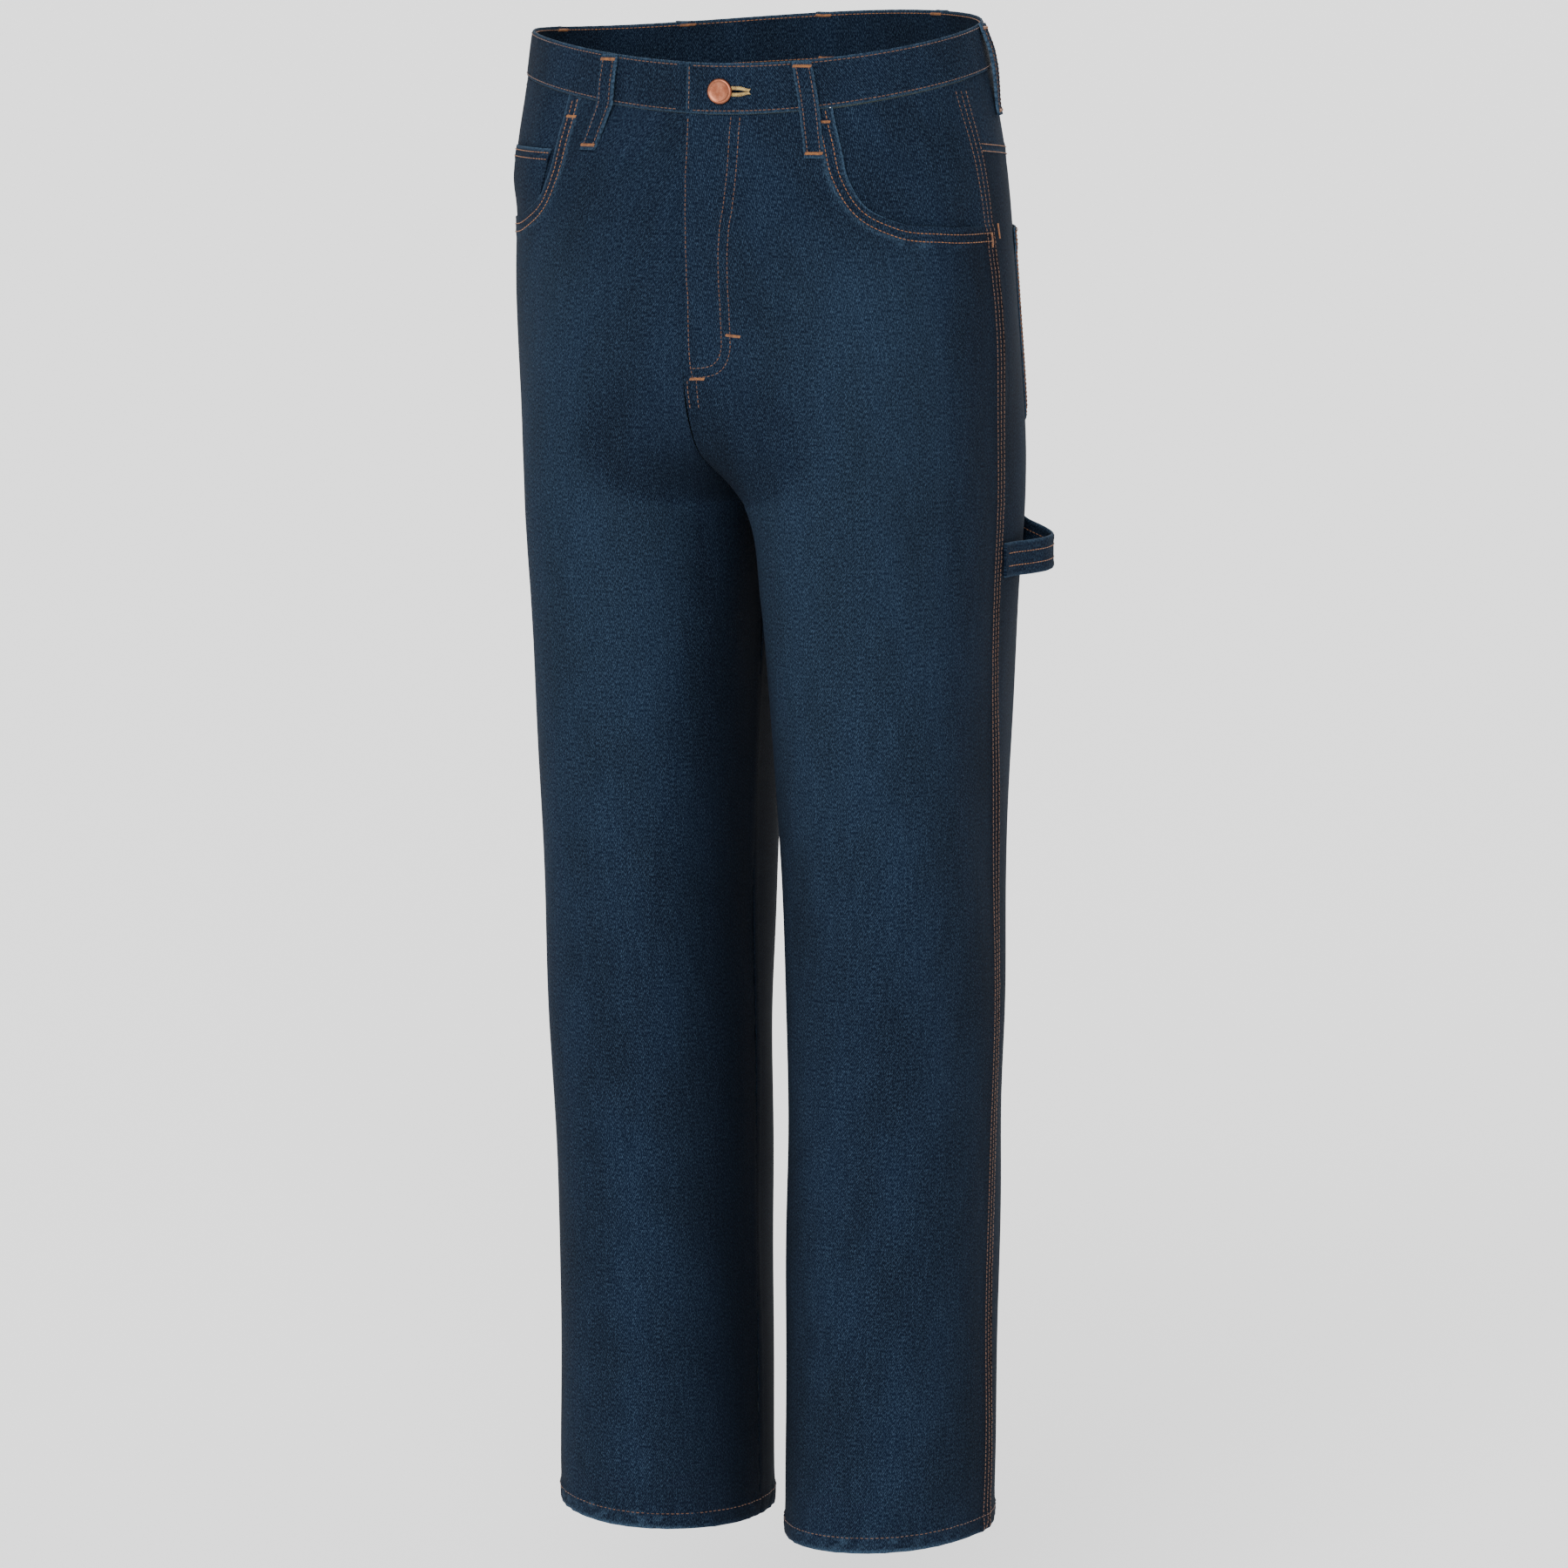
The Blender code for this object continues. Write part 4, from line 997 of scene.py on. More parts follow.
def back_panel(side, looks):
    spread = column_spread(FINE_BACK)
    line = yoke_line(spread) - SEAM / 2
    legs = fine_leg_rows((float(line[0]), float(line[-1])), spread, BACK)
    height = np.concatenate([line[None], legs[1:]])
    share = even_share(np.broadcast_to(spread, height.shape), height, BACK)
    from_row = (1 - share) * panel_width(height, BACK) - RISE_WEAR_AT
    rise_wear = RISE_WEAR * smooth(-0.320, -0.300, height) * edge_wear(from_row, reach=RIDGE_REACH)
    wear_and_painted_light_and_shade = np.maximum(rise_wear, panel_wear(height, share, BACK, side))
    out = relief(height, share, BACK, side)
    return panel_cloth("back_panel", height, share, BACK, side, out, wear_and_painted_light_and_shade, looks)


def yoke(side, looks):
    share = column_spread(FINE_BACK)
    top = height_on(seam_height, share, BACK, side) - BAND_GAP / 2
    down = np.linspace(0, 1, FINE_YOKE_ROWS)[:, None]
    height = top + (yoke_line(share) + SEAM / 2 - top) * down
    share = np.broadcast_to(share, height.shape)
    offsets = rolled(relief(height, share, BACK, side), CLOTH, PANEL_EDGE[BACK])
    wear_and_painted_light_and_shade = 0.4 * edge_wear(height - yoke_line(share), reach=0.0018)
    return cloth_piece("yoke_" + SIDE_NAMES[side], height, share, BACK, side, offsets, wear_and_painted_light_and_shade, looks)


def facing_grid(side):
    distance = np.linspace(0, max(row[0] for row in SCOOP) + FACING_MARGIN, FINE_FACING[0])
    waist = float(height_on(seam_height, np.array([0.0]), FRONT, side)[0])
    bottom = waist - SCOOP[-1][1] - FACING_MARGIN
    top = height_on(seam_height, share_from_side(waist, distance, FRONT), FRONT, side) - BAND_GAP
    height = top + (bottom - top) * np.linspace(0, 1, FINE_FACING[1])[:, None]
    return height, np.broadcast_to(distance, height.shape)


def mouth_below(distance, side):
    """Height of the lower part of the pocket mouth, at distances from the side seam."""
    at, edge = scoop_curve(MOUTH_SAMPLES, side)
    turn = int(np.argmax(at))
    return np.interp(distance, at[turn:][::-1], edge[turn:][::-1])


def facing_out(distance, height, side):
    """The facing's outer face, which comes up to the side seam above the mouth."""
    mouth = mouth_below(distance, side)
    deep, near = FACING_JOIN_DEPTH
    joined = (1 - smooth(*FACING_JOIN, distance)) * smooth(mouth - deep, mouth - near, height)
    return facing_depth(distance, height, side) * (1 - joined)


def pocket_facing(side, looks):
    height, distance = facing_grid(side)
    share = share_from_side(height, distance, FRONT)
    waves = ripple(distance + 0.5 * height, FACING_BULGE_LENGTH, side)
    out = facing_out(distance, height, side) + FACING_BULGE * waves * smooth(0, 0.03, distance)
    name = "pocket_facing_" + SIDE_NAMES[side]
    wear_and_painted_light_and_shade = np.zeros(height.shape)
    return cloth_piece(name, height, share, FRONT, side, (out, out - FACING_WALL), wear_and_painted_light_and_shade, looks)


def watch_top():
    return float(height_on(seam_height, np.array([0.0]), FRONT, RIGHT)[0]) - WATCH_TOP


def watch_out(distance, height):
    """The small pocket's outer face: low at its side edge, and thick along its turned top."""
    lift = WATCH_LIFT + WATCH_SWELL * smooth(0.0, WATCH_RAMP, distance - WATCH_FROM_SIDE[0])
    hem = WATCH_HEM * ridge(watch_top() - height, 0.0, WATCH_HEM_DEPTH, 0.0010)
    return facing_out(distance, height, RIGHT) + lift + hem


def watch_pocket(looks):
    rows, columns = FINE_WATCH
    distance, top = np.linspace(*WATCH_FROM_SIDE, columns), watch_top()
    bottom = mouth_below(distance, RIGHT) + WATCH_MARGIN
    height = top + (bottom - top) * np.linspace(0, 1, rows)[:, None]
    distance = np.broadcast_to(distance, height.shape)
    share = share_from_side(height, distance, FRONT)
    out = watch_out(distance, height)
    thick = np.minimum(WATCH_WALL, out - facing_out(distance, height, RIGHT) - LEAST_GAP)
    offsets = rolled(out, thick, PATCH_EDGE)
    wear_and_painted_light_and_shade = 0.7 * edge_wear(height - top)
    return cloth_piece("watch_pocket", height, share, FRONT, RIGHT, offsets, wear_and_painted_light_and_shade, looks)


def back_pocket_place(across, down):
    """Height and distance from the rise seam of a place on a back pocket, both shares from 0 to 1."""
    top, bottom, tip, near, far, taper = BACK_POCKET
    pointed = bottom + (tip - bottom) * (1 - np.abs(2 * across - 1))
    height = top + (pointed - top) * down
    distance = (near + taper * down) + (far - near - 2 * taper * down) * across
    return height, distance


def back_pocket_lift(across, down):
    """How far a back pocket stands off the panel: least at its sewn edges, most in its middle."""
    span, depth = BACK_POCKET[4] - BACK_POCKET[3], BACK_POCKET[0] - BACK_POCKET[1]
    rim = np.minimum(np.minimum(across, 1 - across) * span, (1 - down) * depth)
    lift = POCKET_LIFT + POCKET_SWELL * smooth(*POCKET_RAMP, rim)
    lift = lift + POCKET_HEM * ridge(down * depth, 0.0, POCKET_HEM_DEPTH, 0.0012)
    bag = np.sin(np.pi * across) ** 2 * np.sin(np.pi * np.clip(down, 0, 0.8) / 0.8) ** 2
    return lift + POCKET_BAG * bag


def back_pocket(side, looks):
    rows, columns = FINE_PATCH
    across, down = np.meshgrid(np.linspace(0, 1, columns), np.linspace(0, 1, rows))
    height, distance = back_pocket_place(across, down)
    share = share_from_rise(height, distance, BACK)
    lift = back_pocket_lift(across, down)
    out = lift + relief(height, share, BACK, side)
    offsets = rolled(out, np.minimum(PATCH_WALL, lift - LEAST_GAP), PATCH_EDGE)
    rim = np.minimum(across, 1 - across) * (BACK_POCKET[4] - BACK_POCKET[3])
    wear_and_painted_light_and_shade = 0.7 * edge_wear(rim, (1 - down) * POCKET_LENGTH, down * POCKET_LENGTH)
    name = "back_pocket_" + SIDE_NAMES[side]
    return cloth_piece(name, height, share, BACK, side, offsets, wear_and_painted_light_and_shade, looks)


def tool_pocket(looks):
    top, bottom, near, far = TOOL_POCKET
    rows, columns = np.linspace(top, bottom, FINE_TOOL[0]), np.linspace(near, far, FINE_TOOL[1])
    height, distance = np.meshgrid(rows, columns, indexing="ij")
    share = share_from_side(height, distance, BACK)
    out = PATCH_GAP + PATCH_WALL + relief(height, share, BACK, RIGHT)
    out += TOOL_HEM * ridge(top - height, 0.0, TOOL_HEM_DEPTH, 0.0012)
    offsets = rolled(out, PATCH_WALL, PANEL_EDGE[BACK])
    wear_and_painted_light_and_shade = 0.7 * edge_wear(distance - near, far - distance, top - height, height - bottom)
    return cloth_piece("tool_pocket", height, share, BACK, RIGHT, offsets, wear_and_painted_light_and_shade, looks)


# Waistband


def band_stretches():
    front = np.linspace(0, 1, FINE_BAND_FRONT)
    back = np.linspace(0, 1, FINE_BAND_BACK)
    lap_width = panel_width(0.0, FRONT)
    return (
        (FRONT, LEFT, 1 - front, "end"),
        (BACK, LEFT, back[1:], ""),
        (BACK, RIGHT, back[:0:-1], ""),
        (FRONT, RIGHT, front[:-1], ""),
        (FRONT, RIGHT, front[-1:], "under"),
        (FRONT, LEFT, 1 - front[1:][front[1:] * lap_width <= UNDERLAP], "under"),
    )


def band_out(shares, face, side, kind, up):
    """Where the band's outer face lies: shares across, and up from its lower edge (0) to the rim (1)."""
    along = shares * panel_width(0.0, face)
    seed = 0.9 * face + 0.4 * side
    out = BAND_PROUD + 0.0 * along + 0.0 * up
    if kind == "end":
        out = out + END_LIFT * smooth(LIFT_END[1], LIFT_END[0], (1 - shares) * panel_width(0.0, FRONT))
    if kind == "under":
        out = out - END_SINK
    edge = np.minimum(up, 1 - up) * BAND_HEIGHT
    out = out + pucker(BAND_PUCKER, along, edge, seed)
    out = out + BAND_SWELL * np.sin(2 * np.pi * along / BAND_SWELL_LENGTH + seed) * np.sin(np.pi * up)
    return out - BAND_GROOVE * np.exp(-(((edge - BAND_GROOVE_AT) / BAND_GROOVE_WIDTH) ** 2))


def band_height(shares, face, side, kind, up):
    low = height_on(seam_height, shares, face, side) + BAND_GAP / 2
    high = height_on(rim_height, shares, face, side) - (UNDER_LOW if kind == "under" else 0.0)
    return low + (high - low) * up


def waistband(looks):
    up = np.concatenate([[0, 0.02], np.linspace(0.06, 0.94, FINE_BAND_ROWS), [0.98, 1]])[:, None]
    # The long edges are rounded off
    pull = np.zeros(up.shape)
    pull[[0, -1]] = 0.0007
    pull[[1, -2]] = 0.00025
    outer, inner = [], []
    for face, side, shares, kind in band_stretches():
        height = band_height(shares, face, side, kind, up)
        out = band_out(shares, face, side, kind, up)
        share = np.broadcast_to(shares, height.shape)
        outer.append(place(height, share, face, side, out - pull))
        inner.append(place(height, share, face, side, out - BAND_WALL + pull))
    outer, inner = np.concatenate(outer, 1), np.concatenate(inner, 1)
    middle = outer[len(up) // 2]
    run = np.concatenate([[0], np.cumsum(np.linalg.norm(np.diff(middle, axis=0), axis=1))])
    across = np.broadcast_to(up * BAND_HEIGHT, outer.shape[:2])
    uv = np.stack([across, np.broadcast_to(run, across.shape)], -1)
    wear_and_painted_light_and_shade = 0.55 * edge_wear(across, BAND_HEIGHT - across, reach=0.0013)
    wear_and_painted_light_and_shade = np.maximum(wear_and_painted_light_and_shade, 0.35 * edge_wear(np.broadcast_to(run, across.shape)))
    dashes = 0.7 + 0.3 * ripple(run, 0.006, 1.0)
    band = shell("waistband_cloth", outer, inner, uv, wear_and_painted_light_and_shade * dashes, *looks)
    cut = band.modifiers.new("buttonhole", "BOOLEAN")
    cut.operation = "DIFFERENCE"
    cut.solver = "EXACT"
    cut.object = slot_cutter()
    return band


# Straps and the button


def belt_loop_grid(name, rows, columns):
    """Points of a loop's outer face and inner face, a map in metres, and places across."""
    face, side, at_rim, at_seam, at_foot = LOOPS[name]
    stand = np.array(LOOP_STAND)
    up = np.linspace(0, 1, rows)
    lift = np.interp(up, stand[:, 0], stand[:, 1])
    for _ in range(3):
        lift[1:-1] = (lift[:-2] + 2 * lift[1:-1] + lift[2:]) / 4
    rim_share = share_from_rise(0.0, abs(at_rim), face)
    high = float(height_on(rim_height, np.array([rim_share]), face, side)[0]) - LOOP_TOP_GAP
    seam = float(height_on(seam_height, np.array([rim_share]), face, side)[0])
    foot = seam - LOOP_BELOW_SEAM
    height = foot + (high - foot) * up
    middle = np.interp(height, (foot, seam, high), (at_foot, at_seam, at_rim))
    across = np.linspace(-1, 1, columns)
    # The long edges are turned in, so they are round and a little proud
    swell = LOOP_EDGE_SWELL * ridge(np.abs(across), 0.55, 0.86, 0.12)
    drop = LOOP_EDGE_DROP * smooth(0.90, 1.0, np.abs(across))
    frayed = LOOP_FRAY * ripple(height, LOOP_FRAY_LENGTH, 2.0 + at_rim * 40)
    faces = []
    for rise in (LOOP_WALL + swell - drop, drop * 0.3):
        grid = []
        for x, off in zip(across, rise):
            distance = middle + x * (LOOP_WIDTH / 2 + frayed)
            share = share_from_rise(height, np.abs(distance), face)
            here, there = (place(height, share, face, way, lift + off) for way in (side, -side))
            grid.append(np.where(distance[:, None] < 0, there, here))
        faces.append(np.stack(grid, 1))
    uv = np.stack(np.broadcast_arrays(across * LOOP_WIDTH / 2, height[:, None]), -1)
    return faces[0], faces[1], uv, across


def belt_loop(name, looks):
    outer, inner, uv, across = belt_loop_grid(name, *LOOP_GRID)
    wear_and_painted_light_and_shade = 0.60 * smooth(0.72, 0.95, np.abs(across)) * np.ones(outer.shape[:2])
    ends = np.linspace(0, 1, outer.shape[0])[:, None]
    wear_and_painted_light_and_shade = np.maximum(wear_and_painted_light_and_shade, 0.5 * smooth(0.045, 0.0, np.minimum(ends, 1 - ends)))
    return shell(name + "_cloth", outer, inner, uv, wear_and_painted_light_and_shade, *looks)


def strap_grid(steps, columns):
    """The hammer loop's two faces along its path, and a map in metres."""
    table = np.array(STRAP_PATH)
    share = share_from_side(table[:, 2], table[:, 0], BACK)
    knots = place(table[:, 2], share, BACK, LEFT, table[:, 1])
    path, even = curve_through(knots, steps)
    ahead = np.gradient(path, axis=0)
    aside = unit(np.cross(ahead, (0, 0, 1)))
    across = np.linspace(-1, 1, columns)
    swell = 0.0004 * ridge(np.abs(across), 0.68, 0.92, 0.10) - 0.0004 * smooth(0.93, 1.0, np.abs(across))
    rise = across[None, :, None] * np.array([0, 0, STRAP_HEIGHT / 2])
    grids = []
    for half in (1, -1):
        depth = half * (STRAP_WALL / 2 + swell)[None, :, None]
        grids.append(path[:, None] + aside[:, None] * depth + rise)
    uv = np.stack(np.broadcast_arrays(across * STRAP_HEIGHT / 2, even[:, None]), -1)
    return grids[0], grids[1], uv, across


def hammer_loop(looks):
    outer, inner, uv, across = strap_grid(90, STRAP_COLUMNS)
    wear_and_painted_light_and_shade = 0.45 * smooth(0.84, 0.97, np.abs(across)) * np.ones(outer.shape[:2])
    return shell("hammer_loop_cloth", outer, inner, uv, wear_and_painted_light_and_shade, *looks)


def button_seat():
    """Where the button's middle lies on the form, and the way it faces."""
    share = share_from_rise(BUTTON_Z, BUTTON_X, FRONT)
    seat = place(np.array([BUTTON_Z]), share, FRONT, LEFT, 0.0)[0]
    ahead = place(np.array([BUTTON_Z]), share, FRONT, LEFT, 0.01)[0] - seat
    return Vector(seat), Vector(ahead).normalized()


def slot_frame():
    """The buttonhole's middle, its direction, and the way it faces."""
    seat, ahead = button_seat()
    level = Vector((0, 0, 1)).cross(ahead).normalized()
    return seat + level * SLOT_SHIFT, level, ahead


def slot_cutter():
    """The buttonhole's slot, which goes through the lapped end only."""
    middle, level, ahead = slot_frame()
    bm = bmesh.new()
    bmesh.ops.create_cube(bm, size=1.0)
    bmesh.ops.scale(bm, vec=(SLOT_LENGTH, SLOT_TOP - SLOT_BOTTOM, SLOT_HEIGHT), verts=bm.verts)
    mesh = bpy.data.meshes.new("buttonhole_cutter")
    bm.to_mesh(mesh)
    bm.free()
    cutter = bpy.data.objects.new("buttonhole_cutter", mesh)
    turn = Matrix((level, ahead, level.cross(ahead))).transposed()
    cutter.matrix_world = Matrix.Translation(middle + ahead * (SLOT_TOP + SLOT_BOTTOM) / 2) @ turn.to_4x4()
    cutter.hide_render = True
    bpy.context.scene.collection.objects.link(cutter)
    return cutter


def button(look):
    """A turned tack button with its face left bare."""
    table = np.array(BUTTON_OUTLINE)
    angle = np.linspace(0, 2 * np.pi, BUTTON_STEPS, endpoint=False)
    points, faces = [], []
    for radius, height in table[1:-1]:
        x, y = radius * np.cos(angle), radius * np.sin(angle)
        ring_points = np.stack([x, y, np.full(len(angle), height)], -1)
        points.extend(ring_points.tolist())
    top, foot = len(points), len(points) + 1
    points += [(0, 0, table[0][1]), (0, 0, table[-1][1])]
    last = (len(table) - 3) * BUTTON_STEPS
    for k in range(BUTTON_STEPS):
        n = (k + 1) % BUTTON_STEPS
        faces.append((top, k, n))
        faces.append((foot, last + n, last + k))
        for i in range(len(table) - 3):
            a = i * BUTTON_STEPS
            faces.append((a + k, a + BUTTON_STEPS + k, a + BUTTON_STEPS + n, a + n))
    mesh = bpy.data.meshes.new("button_disc")
    mesh.from_pydata(points, [], faces)
    mesh.materials.append(look)
    obj = add_piece("button_disc", mesh, sharp=50)
    seat, ahead = button_seat()
    obj.location = seat + ahead * (BAND_PROUD + END_LIFT)
    obj.rotation_euler = ahead.to_track_quat("Z", "Y").to_euler()
    return obj


# Thread


def threads(name, ends, normals, radius, lift, look):
    """Short tapered threads as one piece: their two ends, and the cloth's normal at each."""
    a, b = ends[:, 0], ends[:, 1]
    ahead = unit(b - a)
    side_way = unit(np.cross(normals, ahead))
    up = np.cross(ahead, side_way)
    rings = []
    for along, thick, high in THREAD_RINGS:
        middle = a + (b - a) * along + up * (high * lift)[:, None]
        for k in range(THREAD_SIDES):
            turn = 2 * np.pi * k / THREAD_SIDES
            off = side_way * math.cos(turn) + up * math.sin(turn)
            rings.append(middle + off * (thick * radius)[:, None])
    per = len(THREAD_RINGS) * THREAD_SIDES
    points = np.stack(rings, 1).reshape(-1, 3)
    faces = []
    for i in range(len(THREAD_RINGS) - 1):
        for k in range(THREAD_SIDES):
            n = (k + 1) % THREAD_SIDES
            low = i * THREAD_SIDES
            faces.append((low + k, low + n, low + THREAD_SIDES + n, low + THREAD_SIDES + k))
    starts = np.arange(len(a)) * per
    quads = (np.array(faces)[None] + starts[:, None, None]).reshape(-1, 4).tolist()
    first = np.arange(THREAD_SIDES)[::-1]
    last = np.arange(THREAD_SIDES) + per - THREAD_SIDES
    caps = np.concatenate([starts[:, None] + first, starts[:, None] + last]).tolist()
    mesh = bpy.data.meshes.new(name)
    mesh.from_pydata(points.tolist(), [], quads + caps)
    mesh.materials.append(look)
    return add_piece(name, mesh, sharp=60)


def sewn_line(points, normals, pitch=STITCH_PITCH, length=STITCH_LENGTH, wobble=0.0):
    """Ends and normals of the stitches along a line of close points."""
    run = np.concatenate([[0], np.cumsum(np.linalg.norm(np.diff(points, axis=0), axis=1))])
    count = max(1, int(run[-1] / pitch))
    middle = (np.arange(count) + 0.5) * run[-1] / count

    def at(values, places):
        return np.stack([np.interp(places, run, values[:, k]) for k in range(3)], -1)

    half = length / 2
    a, b = at(points, middle - half), at(points, middle + half)
    normal = unit(at(normals, middle))
    if wobble:
        aside = unit(np.cross(normal, b - a))
        a = a + aside * (wobble * np.sin(middle * 911.0))[:, None]
        b = b + aside * (wobble * np.sin(middle * 1373.0 + 1.0))[:, None]
    return np.stack([a, b], 1), normal


def seated(height, share, face, side, out):
    """Points and normals of a line on the cloth, where out is its outer face."""
    height, share, out = np.broadcast_arrays(height, share, out)
    points = place(height, share, face, side, out)
    return points, unit(place(height, share, face, side, out + 0.001) - points)


def panel_out(height, share, face, side):
    """Where a panel's face lies off the form."""
    out = relief(height, share, face, side)
    return front_out(height, share, side) + out if face == FRONT else out


def panel_row(height, share, face, side, out=0.0, pitch=STITCH_PITCH):
    """A row of stitches on a panel, or on cloth that lies a distance out from it."""
    out = out + panel_out(height, share, face, side)
    return sewn_line(*seated(height, share, face, side, out), pitch=pitch)


def bartack(points, normals, width, spacing=TACK_SPACING):
    """Ends and normals of the close cross threads of a bartack that runs along a short line."""
    run = np.concatenate([[0], np.cumsum(np.linalg.norm(np.diff(points, axis=0), axis=1))])
    count = max(4, int(run[-1] / spacing))
    places = np.linspace(0, run[-1], count)
    middle = np.stack([np.interp(places, run, points[:, k]) for k in range(3)], -1)
    normal = unit(np.stack([np.interp(places, run, normals[:, k]) for k in range(3)], -1))
    ahead = unit(points[-1] - points[0])
    aside = unit(np.cross(normal, ahead))
    slant = ahead * spacing * 0.9
    uneven = 1 + 0.12 * np.sin(places * 9000)[:, None]
    half = (aside * width / 2) * uneven + slant
    return np.stack([middle - half, middle + half], 1), normal


def sew(name, lines, look, radius=STITCH_RADIUS, lift=STITCH_LIFT):
    """Joins several sets of threads into one piece."""
    ends = np.concatenate([line[0] for line in lines])
    normals = np.concatenate([line[1] for line in lines])
    uneven = 1 + 0.10 * np.sin(np.arange(len(ends)) * 2.399)
    obj = threads(name, ends, normals, radius * uneven, lift * uneven, look)
    return finish_piece(obj, "denim")


def side_seam_lines(side):
    """Three rows of stitches beside a side seam, from the waist to the hem."""
    mouth = float(scoop_curve(MOUTH_SAMPLES, side)[1][-1])
    height = np.arange(SIDE_STITCH_TOP, HEM_HEIGHT + 0.0035, -POINT_STEP)
    lines = []
    for distance in SIDE_STITCHES:
        share = share_from_side(height, distance, FRONT)
        facing = facing_out(np.full(height.shape, distance), height, side)
        out = np.where(height > mouth, facing, panel_out(height, share, FRONT, side))
        lines.append(sewn_line(*seated(height, share, FRONT, side, out), wobble=STITCH_WOBBLE))
    return lines


def scoop_lines(side):
    at, mouth = scoop_curve(240, side)
    dx, dz = np.gradient(at), np.gradient(mouth)
    length = np.hypot(dx, dz)
    lines = []
    for inset in SCOOP_STITCHES:
        x, z = at - inset * dz / length, mouth + inset * dx / length
        keep = (x > 0.003) & (z < seam_low(x, side))
        x, z = x[keep], z[keep]
        lines.append(panel_row(z, share_from_side(z, x, FRONT), FRONT, side))
    return lines


def seam_low(distance, side):
    """Height of the waist seam on the front, at a distance from the side seam."""
    share = share_from_side(-0.03, distance, FRONT)
    return height_on(seam_height, share, FRONT, side) - 0.001


def fly_lines():
    """The curved double row beside the fly, the row along its edge, and the double row below it."""
    rows = []
    for inset in (0.0, FLY_STITCH_GAP):
        x, z = j_line(160, inset)
        keep = (x > 0.004) & (z < -0.0355)
        rows.append((z[keep], x[keep]))
    edge = np.arange(-0.0375, -0.215, -POINT_STEP)
    rows.append((edge, np.interp(-edge, *FLY_EDGE_ROW)))
    below = np.arange(-0.214, -0.234, -POINT_STEP)
    rows += [(below, distance) for distance in RISE_STITCHES]
    return [panel_row(z, share_from_rise(z, x, FRONT), FRONT, LEFT) for z, x in rows]


def centre_back_lines():
    z = np.arange(-0.020, -0.296, -POINT_STEP)
    return [panel_row(z, share_from_rise(z, x, BACK), BACK, LEFT) for x in CENTRE_BACK_STITCHES]


def yoke_lines(side):
    share = np.linspace(0.004, 0.997, 140)
    return [panel_row(yoke_line(share) + above, share, BACK, side) for above in YOKE_STITCHES]


def hem_lines(side):
    share = np.linspace(0.004, 0.996, 120)
    return [
        panel_row(hem_height(share, face) + HEM_STITCH, share, face, side, pitch=HEM_PITCH)
        for face in (FRONT, BACK)
    ]


def watch_lines():
    x = np.linspace(WATCH_FROM_SIDE[0] + 0.001, WATCH_FROM_SIDE[1] - 0.001, 60)
    lines = []
    for below in WATCH_STITCHES:
        z = np.full(x.shape, watch_top() - below)
        share = share_from_side(z, x, FRONT)
        lines.append(sewn_line(*seated(z, share, FRONT, RIGHT, watch_out(x, z))))
    return lines


def legs_between(corners, count):
    """Close points on each straight leg of a path."""
    for (x0, y0), (x1, y1) in zip(corners, corners[1:]):
        yield np.linspace(x0, x1, count), np.linspace(y0, y1, count)


def back_pocket_lines(side):
    span = BACK_POCKET[4] - BACK_POCKET[3]
    rows = []
    for inset in PATCH_STITCHES:
        edge, foot = inset / span, 1 - inset / POCKET_LENGTH
        corners = ((edge, 0.012), (edge, foot), (0.5, foot), (1 - edge, foot), (1 - edge, 0.012))
        rows += legs_between(corners, 70)
    across = np.linspace(0.012, 0.988, 80)
    rows += [(across, np.full(80, below / POCKET_LENGTH)) for below in POCKET_TOP_STITCHES]
    lines = []
    for across, down in rows:
        height, distance = back_pocket_place(across, down)
        share = share_from_rise(height, distance, BACK)
        lines.append(panel_row(height, share, BACK, side, back_pocket_lift(across, down)))
    return lines


def tool_pocket_lines():
    top, bottom, near, far = TOOL_POCKET
    rows = []
    for inset in PATCH_STITCHES:
        left, right, start, foot = near + inset, far - inset, top - 0.002, bottom + inset
        corners = ((left, start), (left, foot), (right, foot), (right, start))
        rows += [(x, z, 0.0) for x, z in legs_between(corners, 80)]
    rows.append((np.linspace(near + 0.001, far - 0.001, 60), np.full(60, top - TOOL_TOP_STITCH), TOOL_HEM))
    out = PATCH_GAP + PATCH_WALL
    return [panel_row(z, share_from_side(z, x, BACK), BACK, RIGHT, out + lift) for x, z, lift in rows]


def band_lines(inside):
    """Rows along the rim and the lower edge of the band, on its outer or its inner face."""
    lines = []
    for inset in (BAND_STITCH, 1 - BAND_STITCH):
        points, outwards = [], []
        for face, side, shares, kind in band_stretches():
            if kind == "under" and not inside:
                continue
            height = band_height(shares, face, side, kind, inset)
            out = band_out(shares, face, side, kind, np.full(shares.shape, inset))
            spot, way = seated(height, shares, face, side, out - (BAND_WALL if inside else 0))
            points.append(spot)
            outwards.append(-way if inside else way)
        points, outwards = np.concatenate(points), np.concatenate(outwards)
        lines.append(sewn_line(points[2:-2], outwards[2:-2], length=0.0025))
    return lines


def band_end_line():
    """The row across the lapped end of the band."""
    up = np.linspace(0.07, 0.93, 40)
    share = share_from_rise(0.0, 0.0020, FRONT) * np.ones(40)
    height = band_height(share, FRONT, LEFT, "end", up)
    out = band_out(share, FRONT, LEFT, "end", up)
    return sewn_line(*seated(height, share, FRONT, LEFT, out))


